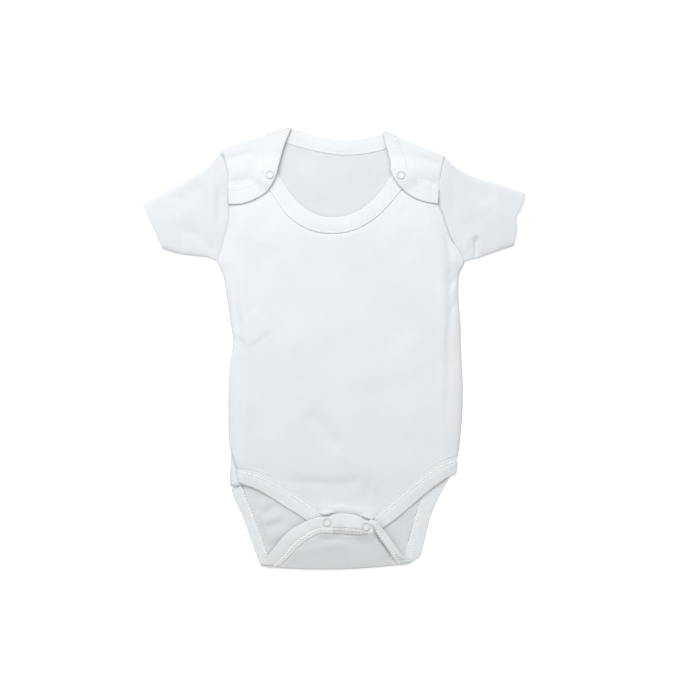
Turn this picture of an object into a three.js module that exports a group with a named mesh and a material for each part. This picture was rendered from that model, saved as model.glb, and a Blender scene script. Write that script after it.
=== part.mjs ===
import * as THREE from 'three';
import { mergeVertices } from 'three/addons/utils/BufferGeometryUtils.js';

// A short-sleeved baby bodysuit with an envelope neck, laid flat on its back. Millimetres, with
// +X to the viewer's right, +Y to the neck and +Z up from the surface that it lies on. The origin
// is under the middle of the garment. Left and right are as seen from above.

// Cloth and trims
const cloth = 1.0; // interlock panels
const rib = 1.6; // folded rib bindings
const hem = 1.4; // turned sleeve hems
const rolledRib = 2.6; // the binding that has rolled over on itself
const seamGap = 0.3; // between pieces that are sewn together
const facetSlack = 0.5; // room for the straight facets of a curved seam
const sideInset = 1.9; // how far the back's edge lies inside the front's rolled side
const foldRadius = 1.65; // of the shoulder folds and the crotch fold
const foldSteps = 6;

// Heights of the panels' middle planes
const backHeight = cloth / 2;
const frontBase = backHeight + cloth + seamGap;
const frontCrown = 1.7; // the air between front and back
const lapRise = 2.0; // a lap or flap above the front
const snapLift = 1.6; // how far a closed snap holds its two layers apart

// Ring snaps
const snapRadius = 4.1;
const snapHole = 2.3;
const snapHeight = 0.9;
const snapSegments = 20;
const studRadius = 3.8;
const studHeight = 1.4;

// Rows of numbers with named columns
const table = (columns, ...rows) =>
  rows.map((row) => Object.fromEntries(columns.map((name, i) => [name, row[i]])));

// Side seams and armholes, from the leg to the shoulder: rolled is 1 where the front's side rolls down
const sections = table(
  ['y', 'left', 'right', 'rolled'],
  [-82, -88.8, 106.3, 1],
  [-58, -90.0, 108.3, 1],
  [-34, -89.6, 109.2, 1],
  [-11, -87.9, 108.5, 1],
  [6, -85.3, 108.0, 1],
  [20, -87.0, 107.6, 1],
  [44, -90.4, 105.4, 1],
  [64, -94.0, 106.2, 1],
  [73.5, -98.4, 110.4, 0],
  [82, -97.0, 107.4, 0],
  [92, -94.5, 100.2, 0],
  [102, -91.4, 96.4, 0],
  [112, -89.7, 93.2, 0],
  [124, -89.6, 88.9, 0],
  [135, -89.7, 89.2, 0],
);

// The armholes above those sections, up to the shoulder folds
const armholeTop = table(['y', 'left', 'right'], [147, -90.1, 90.8], [157, -92.2, 92.9]);

// The shoulder folds and the crotch fold, as the middle plane of the cloth where the bend starts
const shoulderFold = {
  left: { arm: [-95.6, 165.8], neck: [-35.8, 186.3] },
  right: { arm: [94.0, 161.4], neck: [40.9, 182.9] },
};
const crotchFold = (x) => -186.15 + 0.0008 * (x + 6) ** 2;

// Bindings: a row is a section of the strip, from the panel's edge to the free edge
const strip = ['panelX', 'panelY', 'freeX', 'freeY'];
const frontNeck = table(
  strip,
  [-89.9, 147.3, -91.9, 160.0],
  [-76.0, 149.3, -77.0, 163.0],
  [-64.5, 146.0, -59.0, 160.6],
  [-54.7, 133.9, -46.6, 146.0],
  [-40.8, 113.9, -30.5, 124.8],
  [-22.5, 101.2, -17.0, 114.7],
  [-2.6, 97.3, -1.2, 111.4],
  [17.5, 100.4, 12.9, 113.6],
  [35.7, 110.9, 27.0, 121.2],
  [47.5, 122.6, 38.3, 132.2],
  [57.8, 135.1, 48.4, 146.0],
  [66.5, 144.0, 61.0, 158.0],
  [77.0, 147.6, 78.5, 160.5],
  [90.4, 145.6, 92.2, 156.6],
);
const leftLapEdge = table(
  strip,
  [-89.9, 137.9, -89.5, 122.2],
  [-79.5, 138.2, -79.0, 122.5],
  [-70.8, 140.4, -68.0, 126.0],
  [-65.0, 146.0, -56.5, 133.6],
  [-62.0, 154.0, -49.6, 145.0],
  [-59.8, 166.0, -46.4, 156.5],
  [-58.2, 174.5, -42.6, 170.5],
);
const backNeck = table(
  strip,
  [-39.1, 173.8, -29.5, 185.2],
  [-20.0, 168.3, -15.5, 180.6],
  [6.0, 164.0, 6.0, 177.1],
  [28.0, 165.4, 26.0, 178.2],
  [45.0, 170.0, 35.5, 180.8],
);
const rightLapEdge = table(
  strip,
  [56.2, 171.5, 44.6, 170.0],
  [60.0, 163.0, 47.6, 158.6],
  [61.6, 155.0, 48.9, 148.6],
  [65.6, 148.2, 56.8, 136.4],
  [73.0, 143.0, 65.6, 129.2],
  [81.5, 138.4, 76.5, 124.6],
  [88.9, 135.6, 88.5, 122.4],
);
const leftFrontLeg = table(
  strip,
  [-83.0, -101.9, -80.8, -113.6],
  [-75.0, -102.6, -76.5, -115.6],
  [-62.0, -106.0, -66.8, -119.0],
  [-47.6, -113.0, -54.2, -126.2],
  [-33.0, -122.0, -40.5, -135.0],
  [-20.0, -131.0, -28.0, -142.6],
  [-12.8, -137.4, -13.6, -153.0],
);
const rightFrontLeg = table(
  strip,
  [104.9, -91.5, 103.7, -105.8],
  [89.5, -96.6, 94.0, -110.8],
  [74.0, -107.5, 81.6, -120.0],
  [60.4, -118.6, 69.0, -130.7],
  [46.8, -130.5, 56.0, -142.0],
  [38.4, -138.2, 44.6, -150.4],
  [34.2, -142.2, 34.6, -156.0],
);
const leftBackLeg = table(
  strip,
  [-79.2, -114.4, -86.9, -119.4],
  [-74.0, -124.0, -84.6, -126.0],
  [-66.3, -143.2, -76.8, -142.4],
  [-60.0, -160.0, -70.4, -160.4],
  [-53.2, -177.0, -63.9, -178.0],
);
const leftFlapEdge = table(
  strip,
  [-38.3, -177.2, -52.6, -171.4],
  [-31.0, -169.0, -43.0, -159.4],
  [-22.1, -161.8, -31.4, -150.2],
  [-12.0, -156.4, -12.4, -142.4],
);
const rightBackLeg = table(
  strip,
  [77.9, -125.0, 102.6, -107.6],
  [75.0, -130.6, 90.6, -122.4],
  [70.4, -142.0, 82.2, -141.0],
  [65.4, -162.0, 76.2, -164.0],
  [61.0, -175.6, 72.6, -176.2],
);
const rightFlapEdge = table(
  strip,
  [50.6, -178.0, 59.4, -175.6],
  [45.8, -171.0, 53.4, -168.4],
  [38.4, -160.6, 45.2, -157.0],
  [34.2, -153.6, 38.4, -148.6],
);
// Where the back neck binding crosses a shoulder fold, and the back leg bindings the crotch fold
const neckCorner = { left: { panel: -57.2, free: -36.2 }, right: { panel: 54.4, free: 41.4 } };
const crotchCorner = { left: { panel: -47.2, free: -60.6 }, right: { panel: 55.0, free: 66.0 } };
// The back panel's edge beside the starts of the back leg bindings, from the inner corner outwards
const legStart = {
  left: [[-76.4, -113.4], [-80.4, -113.0], [-86.9, -116.8]],
  right: [[76.8, -124.2], [89.3, -114.9], [101.8, -105.6]],
};
const flapEnd = table(
  strip,
  [-11.6, -156.0, -11.6, -142.4],
  [-1.0, -156.6, -3.0, -139.6],
  [9.4, -157.4, 9.4, -140.3],
  [20.5, -157.8, 20.0, -142.0],
  [33.6, -156.4, 33.4, -145.4],
);
const tabEnd = table(
  strip,
  [-12.3, -139.4, -13.0, -153.4],
  [10.0, -141.6, 10.0, -155.8],
  [33.7, -144.0, 34.0, -156.0],
);

// Sleeves as seen from above: along the underside and along the top, from the armhole to the cuff
const sleeveEdges = ['underX', 'underY', 'topX', 'topY'];
const leftSleeve = table(
  sleeveEdges,
  [-98.6, 74.2, -96.3, 164.6],
  [-107.1, 77.4, -107.1, 154.3],
  [-119.0, 78.9, -123.0, 144.6],
  [-131.5, 80.4, -138.5, 135.6],
  [-144.9, 84.5, -162.2, 123.5],
);
const rightSleeve = table(
  sleeveEdges,
  [110.7, 74.2, 94.4, 161.0],
  [115.4, 76.0, 104.0, 153.0],
  [123.0, 78.0, 120.0, 145.0],
  [137.5, 82.8, 137.0, 140.6],
  [152.2, 87.5, 162.2, 130.8],
);
const hemDepth = 21;

// Soft troughs (negative depth) and ridges of the front, from one end to the other
const creases = table(
  ['fromX', 'fromY', 'toX', 'toY', 'width', 'depth'],
  [-83.6, 107, -83.2, 26, 4.5, -0.7],
  [-80.5, 2, -80, -92, 4.5, -0.7],
  [97, 112, 99, 44, 4.5, -0.7],
  [100, 30, 98, -69, 5, -0.6],
  [105, 61, 99, 53, 3, -0.7],
  [105, 44, 99, 30, 3, -0.6],
  [-30, -46, 6, -90, 13, -0.8],
  [-34, -113, 18, -114, 6, -0.4],
  [30, -112, 29, -136, 5, -0.3],
  [-58, 80, -20, 30, 16, -0.4],
  [20, 62, 62, 12, 18, -0.4],
);
const snaps = table(
  ['name', 'x', 'y'],
  ['snap_shoulder_left', -54.4, 147.6],
  ['snap_shoulder_right', 56.6, 147.2],
  ['snap_crotch_left', -4.6, -148.2],
  ['snap_crotch_right', 26.4, -150.4],
);

const { smoothstep, lerp } = THREE.MathUtils;
const upward = new THREE.Vector3(0, 0, 1);
const downward = new THREE.Vector3(0, 0, -1);

// Edge of the body at a height y, straight between the rows of a table
function edgeAt(y, side) {
  const next = sections.findIndex((row) => row.y > y);
  if (next === 0) return sections[0][side];
  if (next < 0) return sections.at(-1)[side];
  const [low, high] = [sections[next - 1], sections[next]];
  return lerp(low[side], high[side], (y - low.y) / (high.y - low.y));
}

function creaseHeight(x, y) {
  let height = 0;
  for (const crease of creases) {
    const alongX = crease.toX - crease.fromX;
    const alongY = crease.toY - crease.fromY;
    const share = ((x - crease.fromX) * alongX + (y - crease.fromY) * alongY) / (alongX ** 2 + alongY ** 2);
    const t = THREE.MathUtils.clamp(share, 0, 1);
    const distance = Math.hypot(x - crease.fromX - t * alongX, y - crease.fromY - t * alongY);
    height += crease.depth * Math.exp(-((distance / crease.width) ** 2));
  }
  return height;
}

// The front's middle plane: it is crowned with air and falls to the back at its edges
function frontHeight(x, y) {
  const fromSide = Math.min(x - edgeAt(y, 'left'), edgeAt(y, 'right') - x);
  const fade = smoothstep(fromSide, 0, 15) * smoothstep(y, -136, -92) * (1 - smoothstep(y, 95, 140));
  return frontBase + Math.max(0, frontCrown * fade + creaseHeight(x, y) * Math.min(1, 2 * fade));
}

// A closed snap holds the upper layer up around itself
function snapHeightAt(x, y) {
  const near = Math.min(...snaps.map((snap) => Math.hypot(x - snap.x, y - snap.y)));
  return snapLift * (1 - smoothstep(near, 6.5, 17));
}

const upperHeight = (x, y) => frontHeight(x, y) + lapRise + snapHeightAt(x, y);

// A point of a wall's middle surface, with the side that its thickness grows to
const clothPoint = (x, y, z, up = upward, thick = cloth) => ({ at: new THREE.Vector3(x, y, z), up, thick });

// Turns a grid of cloth points into one closed wall, half of its thickness to each side
function wall(grid, { present = () => true, tube = false } = {}) {
  const rows = grid.length - 1;
  const columns = grid[0].length - (tube ? 0 : 1);
  const has = (r, c) => {
    const column = tube ? (c + columns) % columns : c;
    return r >= 0 && r < rows && column >= 0 && column < columns && present(r, column);
  };
  const face = (r, c, side) => {
    const point = grid[r][c % grid[0].length];
    return point.at.clone().addScaledVector(point.up, (side * point.thick) / 2);
  };
  const positions = [];
  const quad = (a, b, c, d) => {
    for (const corner of [a, b, c, a, c, d]) positions.push(corner.x, corner.y, corner.z);
  };
  const rim = (r1, c1, r2, c2) => quad(face(r1, c1, -1), face(r2, c2, -1), face(r2, c2, 1), face(r1, c1, 1));
  for (let r = 0; r < rows; r++) {
    for (let c = 0; c < columns; c++) {
      if (!has(r, c)) continue;
      quad(face(r, c, 1), face(r, c + 1, 1), face(r + 1, c + 1, 1), face(r + 1, c, 1));
      quad(face(r, c, -1), face(r + 1, c, -1), face(r + 1, c + 1, -1), face(r, c + 1, -1));
      if (!has(r - 1, c)) rim(r, c, r, c + 1);
      if (!has(r, c + 1)) rim(r, c + 1, r + 1, c + 1);
      if (!has(r + 1, c)) rim(r + 1, c + 1, r + 1, c);
      if (!has(r, c - 1)) rim(r + 1, c, r, c);
    }
  }
  return closedGeometry(positions);
}

// Merges a wall's triangles and turns them outwards
function closedGeometry(positions) {
  let volume = 0;
  for (let i = 0; i < positions.length; i += 9) {
    const [ax, ay, az, bx, by, bz, cx, cy, cz] = positions.slice(i, i + 9);
    volume += ax * (by * cz - bz * cy) + ay * (bz * cx - bx * cz) + az * (bx * cy - by * cx);
  }
  const geometry = new THREE.BufferGeometry();
  geometry.setAttribute('position', new THREE.Float32BufferAttribute(positions, 3));
  const merged = mergeVertices(geometry, 1e-4);
  if (volume < 0) {
    const index = merged.index.array;
    for (let i = 0; i < index.length; i += 3) [index[i], index[i + 1]] = [index[i + 1], index[i]];
  }
  merged.computeVertexNormals();
  return merged;
}

const curveThrough = (points) =>
  new THREE.CatmullRomCurve3(points.map(([x, y]) => new THREE.Vector3(x, y, 0)), false, 'centripetal');

// Plan points that fill the space between four edges: rows run from bottom to top
function patch(bottom, top, left, right, shares) {
  const last = left.length - 1;
  const height = (row) => left[row][1] + right[row][1];
  return left.map((leftPoint, row) => {
    const v = (height(row) - height(0)) / (height(last) - height(0));
    return shares.map((u, column) => [0, 1].map((axis) =>
      (1 - v) * bottom[column][axis] + v * top[column][axis]
      + (1 - u) * leftPoint[axis] + u * right[row][axis]
      - (1 - v) * ((1 - u) * left[0][axis] + u * right[0][axis])
      - v * ((1 - u) * left[last][axis] + u * right[last][axis])));
  });
}

// Points at given shares of a curve's length
const along = (points, shares) => {
  const curve = curveThrough(points);
  return shares.map((share) => {
    const point = curve.getPointAt(share);
    return [point.x, point.y];
  });
};

// Shares from 0 to 1, closer together near both ends
const spread = (count, ease = 0.6) =>
  Array.from({ length: count + 1 }, (_, i) => i / count - (ease * Math.sin((2 * Math.PI * i) / count)) / (2 * Math.PI));

// Where the columns of the front panel and the sections of the front neck binding lie
const neckShares = spread(26, 0.25);

// Each row of a list and the points between it and the next, on a smooth curve
function refine(points, times) {
  const curve = curveThrough(points);
  const count = (points.length - 1) * times;
  return Array.from({ length: count + 1 }, (_, i) => {
    const point = curve.getPoint(i / count);
    return [point.x, point.y];
  });
}

const moved = ([x, y], dx, dy) => [x + dx, y + dy];
const panelEdge = (rows) => rows.map((row) => [row.panelX, row.panelY]);
const freeEdge = (rows) => rows.map((row) => [row.freeX, row.freeY]);

// The edge of the panel that a binding is sewn to, a gap away from the binding
const seamEdge = (rows, gap) => rows.map((row) => {
  const [dx, dy] = [row.panelX - row.freeX, row.panelY - row.freeY];
  const length = Math.hypot(dx, dy);
  return [row.panelX + (dx * gap) / length, row.panelY + (dy * gap) / length];
});

// The unit normal of a shoulder fold, away from the body
function foldNormal(side) {
  const { arm, neck } = shoulderFold[side];
  const [dx, dy] = side === 'left' ? [neck[0] - arm[0], neck[1] - arm[1]] : [arm[0] - neck[0], arm[1] - neck[1]];
  return [-dy, dx].map((value) => value / Math.hypot(dx, dy));
}

// A point of a shoulder fold at a given x
function onShoulder(side, x) {
  const { arm, neck } = shoulderFold[side];
  const share = (x - arm[0]) / (neck[0] - arm[0]);
  return [x, lerp(arm[1], neck[1], share)];
}

// The rows of a bend that lifts cloth from the back's height to the height of a lap or flap
function bend(row, [nx, ny], thick) {
  const rows = [];
  for (let step = 1; step < foldSteps; step++) {
    const angle = (Math.PI * step) / foldSteps;
    const out = foldRadius * Math.sin(angle);
    const up = new THREE.Vector3(-nx * Math.sin(angle), -ny * Math.sin(angle), Math.cos(angle));
    rows.push(row.map(([x, y]) => clothPoint(
      x + nx * out, y + ny * out, thick / 2 + foldRadius * (1 - Math.cos(angle)), up, thick)));
  }
  return rows;
}

// A binding's sections: evenly thick, with softly thinned edges
const bindingProfile = table(['across', 'thick'], [0, 0.7], [0.08, 1], [0.5, 1], [0.92, 1], [1, 0.55]);

function bindingRow(panel, free, height, up = upward, thick = rib) {
  return bindingProfile.map((step) => {
    const x = lerp(panel[0], free[0], step.across);
    const y = lerp(panel[1], free[1], step.across);
    return clothPoint(x, y, height(x, y), up, thick * step.thick);
  });
}

function bindingStretch(rows, times, height, up = upward, thick = rib) {
  const panel = refine(panelEdge(rows), times);
  const free = refine(freeEdge(rows), times);
  return panel.map((point, i) => bindingRow(point, free[i], height, up, thick));
}

// The same bend for a binding, between its panel edge and free edge on the fold
function bindingBend(panel, free, normal) {
  const middle = bend([[0, 0]], normal, rib).map((row) => row[0]);
  return middle.map((offset) => bindingProfile.map((step) => clothPoint(
    lerp(panel[0], free[0], step.across) + offset.at.x,
    lerp(panel[1], free[1], step.across) + offset.at.y,
    offset.at.z, offset.up, rib * step.thick)));
}

const onBack = () => rib / 2;
const onFront = (x, y) => frontHeight(x, y) + (rib - cloth) / 2;
const onUpper = (x, y) => upperHeight(x, y) + (rib - cloth) / 2;

const cottonInterlock = new THREE.MeshStandardMaterial({ color: '#eceff2', roughness: 0.92, metalness: 0 });
const sleeveInterlock = new THREE.MeshStandardMaterial({ color: '#ececf0', roughness: 0.92, metalness: 0 });
const insideInterlock = new THREE.MeshStandardMaterial({ color: '#e4e6e8', roughness: 0.94, metalness: 0 });
const cottonRib = new THREE.MeshStandardMaterial({ color: '#f4f6f8', roughness: 0.9, metalness: 0 });
const enamelledBrass = new THREE.MeshStandardMaterial({ color: '#f0f1f1', roughness: 0.4, metalness: 0.1 });

function piece(name, geometry, material) {
  const mesh = new THREE.Mesh(geometry, material);
  mesh.name = name;
  return mesh;
}

// Front panel: its sides roll down to the floor along the side seams and end flat at the armholes
function frontPanel() {
  const sideRoll = table(['inward', 'drop', 'lean'], [0.5, 1.35, 1], [0.95, 0.3, 0.7], [2.2, 0, 0]);
  const shares = neckShares;
  const legGap = seamGap + facetSlack;
  const leg = [
    ...seamEdge(leftFrontLeg, legGap), ...seamEdge(tabEnd, legGap).slice(1, 2),
    ...seamEdge(rightFrontLeg, legGap).reverse(),
  ];
  const neck = seamEdge(frontNeck, seamGap);
  const inner = sideRoll.at(-1).inward;
  const side = (name, sign) => [
    moved(name === 'left' ? leg[0] : leg.at(-1), sign * inner, 0),
    ...sections.map((row) => [row[name] + sign * (inner + (row.rolled ? 0 : seamGap)), row.y]),
    name === 'left' ? neck[0] : neck.at(-1),
  ];
  const left = refine(side('left', 1), 2);
  const right = refine(side('right', -1), 2);
  const bottom = along([left[0], ...leg.slice(1, -1), right[0]], shares);
  const top = along(neck, shares);
  left[left.length - 1] = top[0];
  right[right.length - 1] = top.at(-1);
  const plan = patch(bottom, top, left, right, shares);
  const rolledRow = (row) => {
    const y = left[row][1];
    return smoothstep(y, -90, -80) * (1 - smoothstep(y, 62, 73));
  };
  const roll = (row, [x, y], sign) => sideRoll.slice(0, -1).map((step) => {
    const share = rolledRow(row);
    const up = new THREE.Vector3(-sign * step.lean * share, 0, 1 - step.lean * share).normalize();
    const outward = inner - step.inward * share - (1 - share) * step.inward * 0.4;
    return clothPoint(x - sign * outward, y, frontBase - step.drop * share, up);
  });
  const grid = plan.map((points, row) => [
    ...roll(row, points[0], 1),
    ...points.map(([x, y]) => clothPoint(x, y, frontHeight(x, y))),
    ...roll(row, points.at(-1), -1).reverse(),
  ]);
  return piece('front_panel', wall(grid), cottonInterlock);
}

// Back panel: the crotch flap, the body and the two shoulder laps are one cut
function backPanel() {
  const shoulderColumns = 7;
  const neckColumns = 8;
  const gap = seamGap + facetSlack;
  const columns = 2 * shoulderColumns + neckColumns;
  const shares = Array.from({ length: columns + 1 }, (_, i) => i / columns);
  const foldLeft = [crotchCorner.left.panel + gap, crotchFold(crotchCorner.left.panel)];
  const foldRight = [crotchCorner.right.panel - gap, crotchFold(crotchCorner.right.panel)];
  const crotchRow = shares.map((u) => {
    const x = lerp(foldLeft[0], foldRight[0], u);
    return [x, crotchFold(x)];
  });

  // The flap, from its end to the crotch fold
  const endEdge = along(seamEdge(flapEnd, gap), shares);
  const flapLeft = refine([...seamEdge(leftFlapEdge, gap).reverse(), foldLeft], 2);
  flapLeft[0] = endEdge[0];
  const flapRight = refine([...seamEdge(rightFlapEdge, gap + facetSlack).reverse(), foldRight], 2);
  flapRight[0] = endEdge.at(-1);
  const flap = patch(endEdge, crotchRow, flapLeft, flapRight, shares)
    .map((row) => row.map(([x, y]) => clothPoint(x, y, upperHeight(x, y), downward)));
  flap[flap.length - 1].forEach((point) => { point.at.z = backHeight + 2 * foldRadius; });

  // The body, from the crotch fold to the shoulder folds and the back neck
  const leftNeck = onShoulder('left', neckCorner.left.panel - gap);
  const rightNeck = onShoulder('right', neckCorner.right.panel + gap);
  const tip = (side, sign) => onShoulder(side, shoulderFold[side].arm[0] + sign * seamGap);
  const shoulder = (from, to) => Array.from({ length: shoulderColumns + 1 }, (_, i) =>
    [0, 1].map((axis) => lerp(from[axis], to[axis], i / shoulderColumns)));
  const neckRow = along(
    [leftNeck, ...seamEdge(backNeck, gap), rightNeck],
    spread(neckColumns, 0.4));
  const topRow = [
    ...shoulder(tip('left', 1), leftNeck), ...neckRow.slice(1, -1), ...shoulder(rightNeck, tip('right', -1)),
  ];
  const upperSide = (name, sign) => [
    ...sections.map((row) => [row[name] + sign * (row.rolled ? sideInset : seamGap), row.y]),
    ...armholeTop.map((row) => [row[name] + sign * seamGap, row.y]),
    tip(name, sign),
  ];
  const legEdge = (rows) => seamEdge(rows, gap).slice(1).reverse();
  const left = [foldLeft, ...legEdge(leftBackLeg), ...legStart.left, [-85.8, -95], ...upperSide('left', 1)];
  const right = [foldRight, ...legEdge(rightBackLeg), ...legStart.right, [103.4, -98], ...upperSide('right', -1)];
  const body = patch(crotchRow, topRow, left, right, shares)
    .map((row) => row.map(([x, y]) => clothPoint(x, y, backHeight)));

  // The laps, from the shoulder folds to their bindings
  const lap = (side, edge, sign) => {
    const fold = side === 'left' ? topRow.slice(0, shoulderColumns + 1) : topRow.slice(-shoulderColumns - 1);
    const edgePoints = seamEdge(edge, gap);
    const hemPoints = side === 'left' ? edgePoints.slice(0, 4) : edgePoints.slice(-4);
    const neckSide = side === 'left' ? edgePoints.slice(3) : edgePoints.slice(0, -3).reverse();
    const armhole = [
      tip(side, sign), ...armholeTop.map((row) => [row[side] + sign * seamGap, row.y]).reverse(),
      side === 'left' ? hemPoints[0] : hemPoints.at(-1),
    ];
    const inner = [
      side === 'left' ? fold.at(-1) : fold[0],
      ...neckSide.reverse(),
    ];
    const lapRows = 8;
    const steps = Array.from({ length: lapRows + 1 }, (_, i) => i / lapRows);
    const armEdge = along(armhole, steps);
    const neckEdge = along(inner, steps);
    const ends = side === 'left' ? [armEdge.at(-1), neckEdge.at(-1)] : [neckEdge.at(-1), armEdge.at(-1)];
    const across = Array.from({ length: shoulderColumns + 1 }, (_, i) => i / shoulderColumns);
    const low = along([ends[0], ...hemPoints.slice(1, -1), ends[1]], across);
    const edges = side === 'left' ? [armEdge, neckEdge] : [neckEdge, armEdge];
    const plan = patch(fold, low, ...edges, across);
    const rows = plan.map((row) => row.map(([x, y]) => clothPoint(x, y, upperHeight(x, y), downward)));
    rows[0].forEach((point) => { point.at.z = backHeight + 2 * foldRadius; });
    return [...bend(fold, foldNormal(side), cloth), ...rows];
  };
  const leftLap = lap('left', leftLapEdge, 1);
  const rightLap = lap('right', rightLapEdge, -1);
  const noCloth = Array.from({ length: neckColumns - 1 }, () => clothPoint(0, 0, 0));
  const laps = leftLap.map((row, i) => [...row, ...noCloth, ...rightLap[i]]);

  const crotchBend = bend(crotchRow, [0, -1], cloth).reverse();
  const grid = [...flap, ...crotchBend, ...body, ...laps];
  const lapStart = flap.length + crotchBend.length + body.length - 1;
  const present = (row, column) =>
    row < lapStart || column < shoulderColumns || column >= shoulderColumns + neckColumns;
  return piece('back_panel', wall(grid, { present }), insideInterlock);
}

// A sleeve: a flattened tube with a turned hem at the cuff
function sleeve(side, rows, sign) {
  const across = 8;
  const steps = 9;
  const shares = Array.from({ length: across + 1 }, (_, i) => i / across);
  const under = along(rows.map((row) => [row.underX, row.underY]), spread(steps, 0.3));
  const top = along(rows.map((row) => [row.topX, row.topY]), spread(steps, 0.3));
  const armhole = [
    under[0],
    ...sections.filter((row) => row.y > 78).map((row) => [row[side], row.y]),
    ...armholeTop.map((row) => [row[side], row.y]),
    top[0],
  ].map((point) => moved(point, -sign * seamGap, 0));
  under[0] = armhole[0];
  top[0] = armhole.at(-1);
  const cuff = shares.map((u) => [0, 1].map((axis) => lerp(under.at(-1)[axis], top.at(-1)[axis], u)));
  const armholeRow = along(armhole, shares);
  const grid = under.map((_, row) => {
    const [ux, uy] = under[row];
    const [tx, ty] = top[row];
    const line = [tx - ux, ty - uy].map((value) => value / Math.hypot(tx - ux, ty - uy));
    const fromCuff = Math.hypot(
      (ux + tx) / 2 - (cuff[0][0] + cuff.at(-1)[0]) / 2, (uy + ty) / 2 - (cuff[0][1] + cuff.at(-1)[1]) / 2);
    const thick = lerp(hem, cloth, smoothstep(fromCuff, hemDepth - 3, hemDepth));
    const atArmhole = 1 - row / (under.length - 1);
    const spacing = (u) => {
      const seam = lerp(frontBase - backHeight, 2 * foldRadius, smoothstep(u, 0.55, 0.8));
      const loose = thick + 0.4 + 1.5 * Math.sin(Math.PI * u);
      return lerp(loose, seam, smoothstep(atArmhole, 0.6, 1));
    };
    const inset = (u) => (spacing(u) + thick) / 2;
    const width = Math.hypot(tx - ux, ty - uy);
    const place = (u) => {
      const from = inset(0) / width;
      const to = 1 - inset(1) / width;
      return lerp(from, to, u);
    };
    const plan = (u) => {
      const share = place(u);
      const straight = [lerp(ux, tx, share), lerp(uy, ty, share)];
      const bulge = shares.map((_, i) => armholeRow[i][0] - lerp(armholeRow[0][0], armholeRow.at(-1)[0], shares[i]));
      const cell = Math.min(across - 1, Math.floor(share * across));
      const shift = lerp(bulge[cell], bulge[cell + 1], share * across - cell);
      return [straight[0] + shift * atArmhole ** 2, straight[1]];
    };
    const layer = (u, upper) => {
      const [x, y] = plan(u);
      const z = thick / 2 + (upper ? spacing(u) : 0);
      return clothPoint(x, y, z, upper ? upward : downward, thick);
    };
    const fold = (u, outward) => {
      const [x, y] = plan(u);
      const reach = (outward * spacing(u)) / 2;
      const up = new THREE.Vector3(line[0] * outward, line[1] * outward, 0);
      return clothPoint(x + line[0] * reach, y + line[1] * reach, thick / 2 + spacing(u) / 2, up, thick);
    };
    return [
      ...shares.map((u) => layer(u, true)), fold(1, 1),
      ...[...shares].reverse().map((u) => layer(u, false)), fold(0, -1),
    ];
  });
  return piece(`sleeve_${side}`, wall(grid, { tube: true }), sleeveInterlock);
}

// Front neck binding: its sections lie at the front panel's columns
function frontNeckBinding() {
  const panel = along(panelEdge(frontNeck), neckShares);
  const free = along(freeEdge(frontNeck), neckShares);
  return piece('front_neck_binding', wall(panel.map((point, i) => bindingRow(point, free[i], onFront))), cottonRib);
}

// Back neck binding: left lap, over the shoulder, back neck, over the shoulder, right lap
function backNeckBinding() {
  const corner = Object.fromEntries(['left', 'right'].map((side) => [side, {
    panel: onShoulder(side, neckCorner[side].panel), free: onShoulder(side, neckCorner[side].free),
  }]));
  const ends = (side) => ({
    panelX: corner[side].panel[0], panelY: corner[side].panel[1],
    freeX: corner[side].free[0], freeY: corner[side].free[1],
  });
  const over = (side) => bindingBend(corner[side].panel, corner[side].free, foldNormal(side));
  const grid = [
    ...bindingStretch([...leftLapEdge, ends('left')], 3, onUpper, downward),
    ...over('left').reverse(),
    ...bindingStretch([ends('left'), ...backNeck, ends('right')], 3, onBack),
    ...over('right'),
    ...bindingStretch([ends('right'), ...rightLapEdge], 3, onUpper, downward),
  ];
  return piece('back_neck_binding', wall(grid), cottonRib);
}

const frontLegBinding = (side, rows) =>
  piece(`front_leg_binding_${side}`, wall(bindingStretch(rows, 3, onFront)), cottonRib);

// Back leg binding: down the back leg edge, round the crotch fold and up the edge of the flap
function backLegBinding(side, backRows, flapRows, flapRib) {
  const { panel, free } = crotchCorner[side];
  const corner = { panelX: panel, panelY: crotchFold(panel), freeX: free, freeY: crotchFold(free) };
  const around = bindingBend([panel, crotchFold(panel)], [free, crotchFold(free)], [0, -1]);
  const flap = bindingStretch([corner, ...flapRows], 3, onUpper, downward);
  const thicker = (row, i) => row.map((point) => {
    const share = smoothstep(i, 0, 4);
    const thick = point.thick * lerp(1, flapRib / rib, share);
    const at = point.at.clone();
    at.z += (thick - point.thick) / 2;
    return { ...point, at, thick };
  });
  const grid = [
    ...bindingStretch([...backRows, corner], 3, onBack),
    ...around,
    ...flap.map(thicker),
  ];
  return piece(`back_leg_binding_${side}`, wall(grid), cottonRib);
}

const flapEndBinding = () =>
  piece('flap_end_binding', wall(bindingStretch(flapEnd, 4, onUpper)), cottonRib);
const tabEndBinding = () =>
  piece('tab_end_binding', wall(bindingStretch(tabEnd, 4, onFront)), cottonRib);

// The visible ring of a snap, with a rounded crown, on top of the upper binding
function snapRing({ name, x, y }) {
  const middle = (snapRadius + snapHole) / 2;
  const profile = [
    [snapHole, 0], [snapRadius, 0], [snapRadius, snapHeight * 0.5], [middle + 0.4, snapHeight],
    [middle - 0.4, snapHeight], [snapHole, snapHeight * 0.6], [snapHole, 0],
  ].map(([radius, height]) => new THREE.Vector2(radius, height));
  const geometry = new THREE.LatheGeometry(profile, snapSegments).rotateX(Math.PI / 2);
  const ring = piece(`${name}_ring`, geometry, enamelledBrass);
  ring.position.set(x, y, onUpper(x, y) + rib / 2 + seamGap);
  return ring;
}

// The closed socket and stud between the two layers
function snapStud({ name, x, y }) {
  const geometry = new THREE.CylinderGeometry(studRadius, studRadius, studHeight, snapSegments)
    .rotateX(Math.PI / 2);
  const stud = piece(`${name}_stud`, geometry, enamelledBrass);
  stud.position.set(x, y, onFront(x, y) + rib / 2 + seamGap + studHeight / 2);
  return stud;
}

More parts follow.
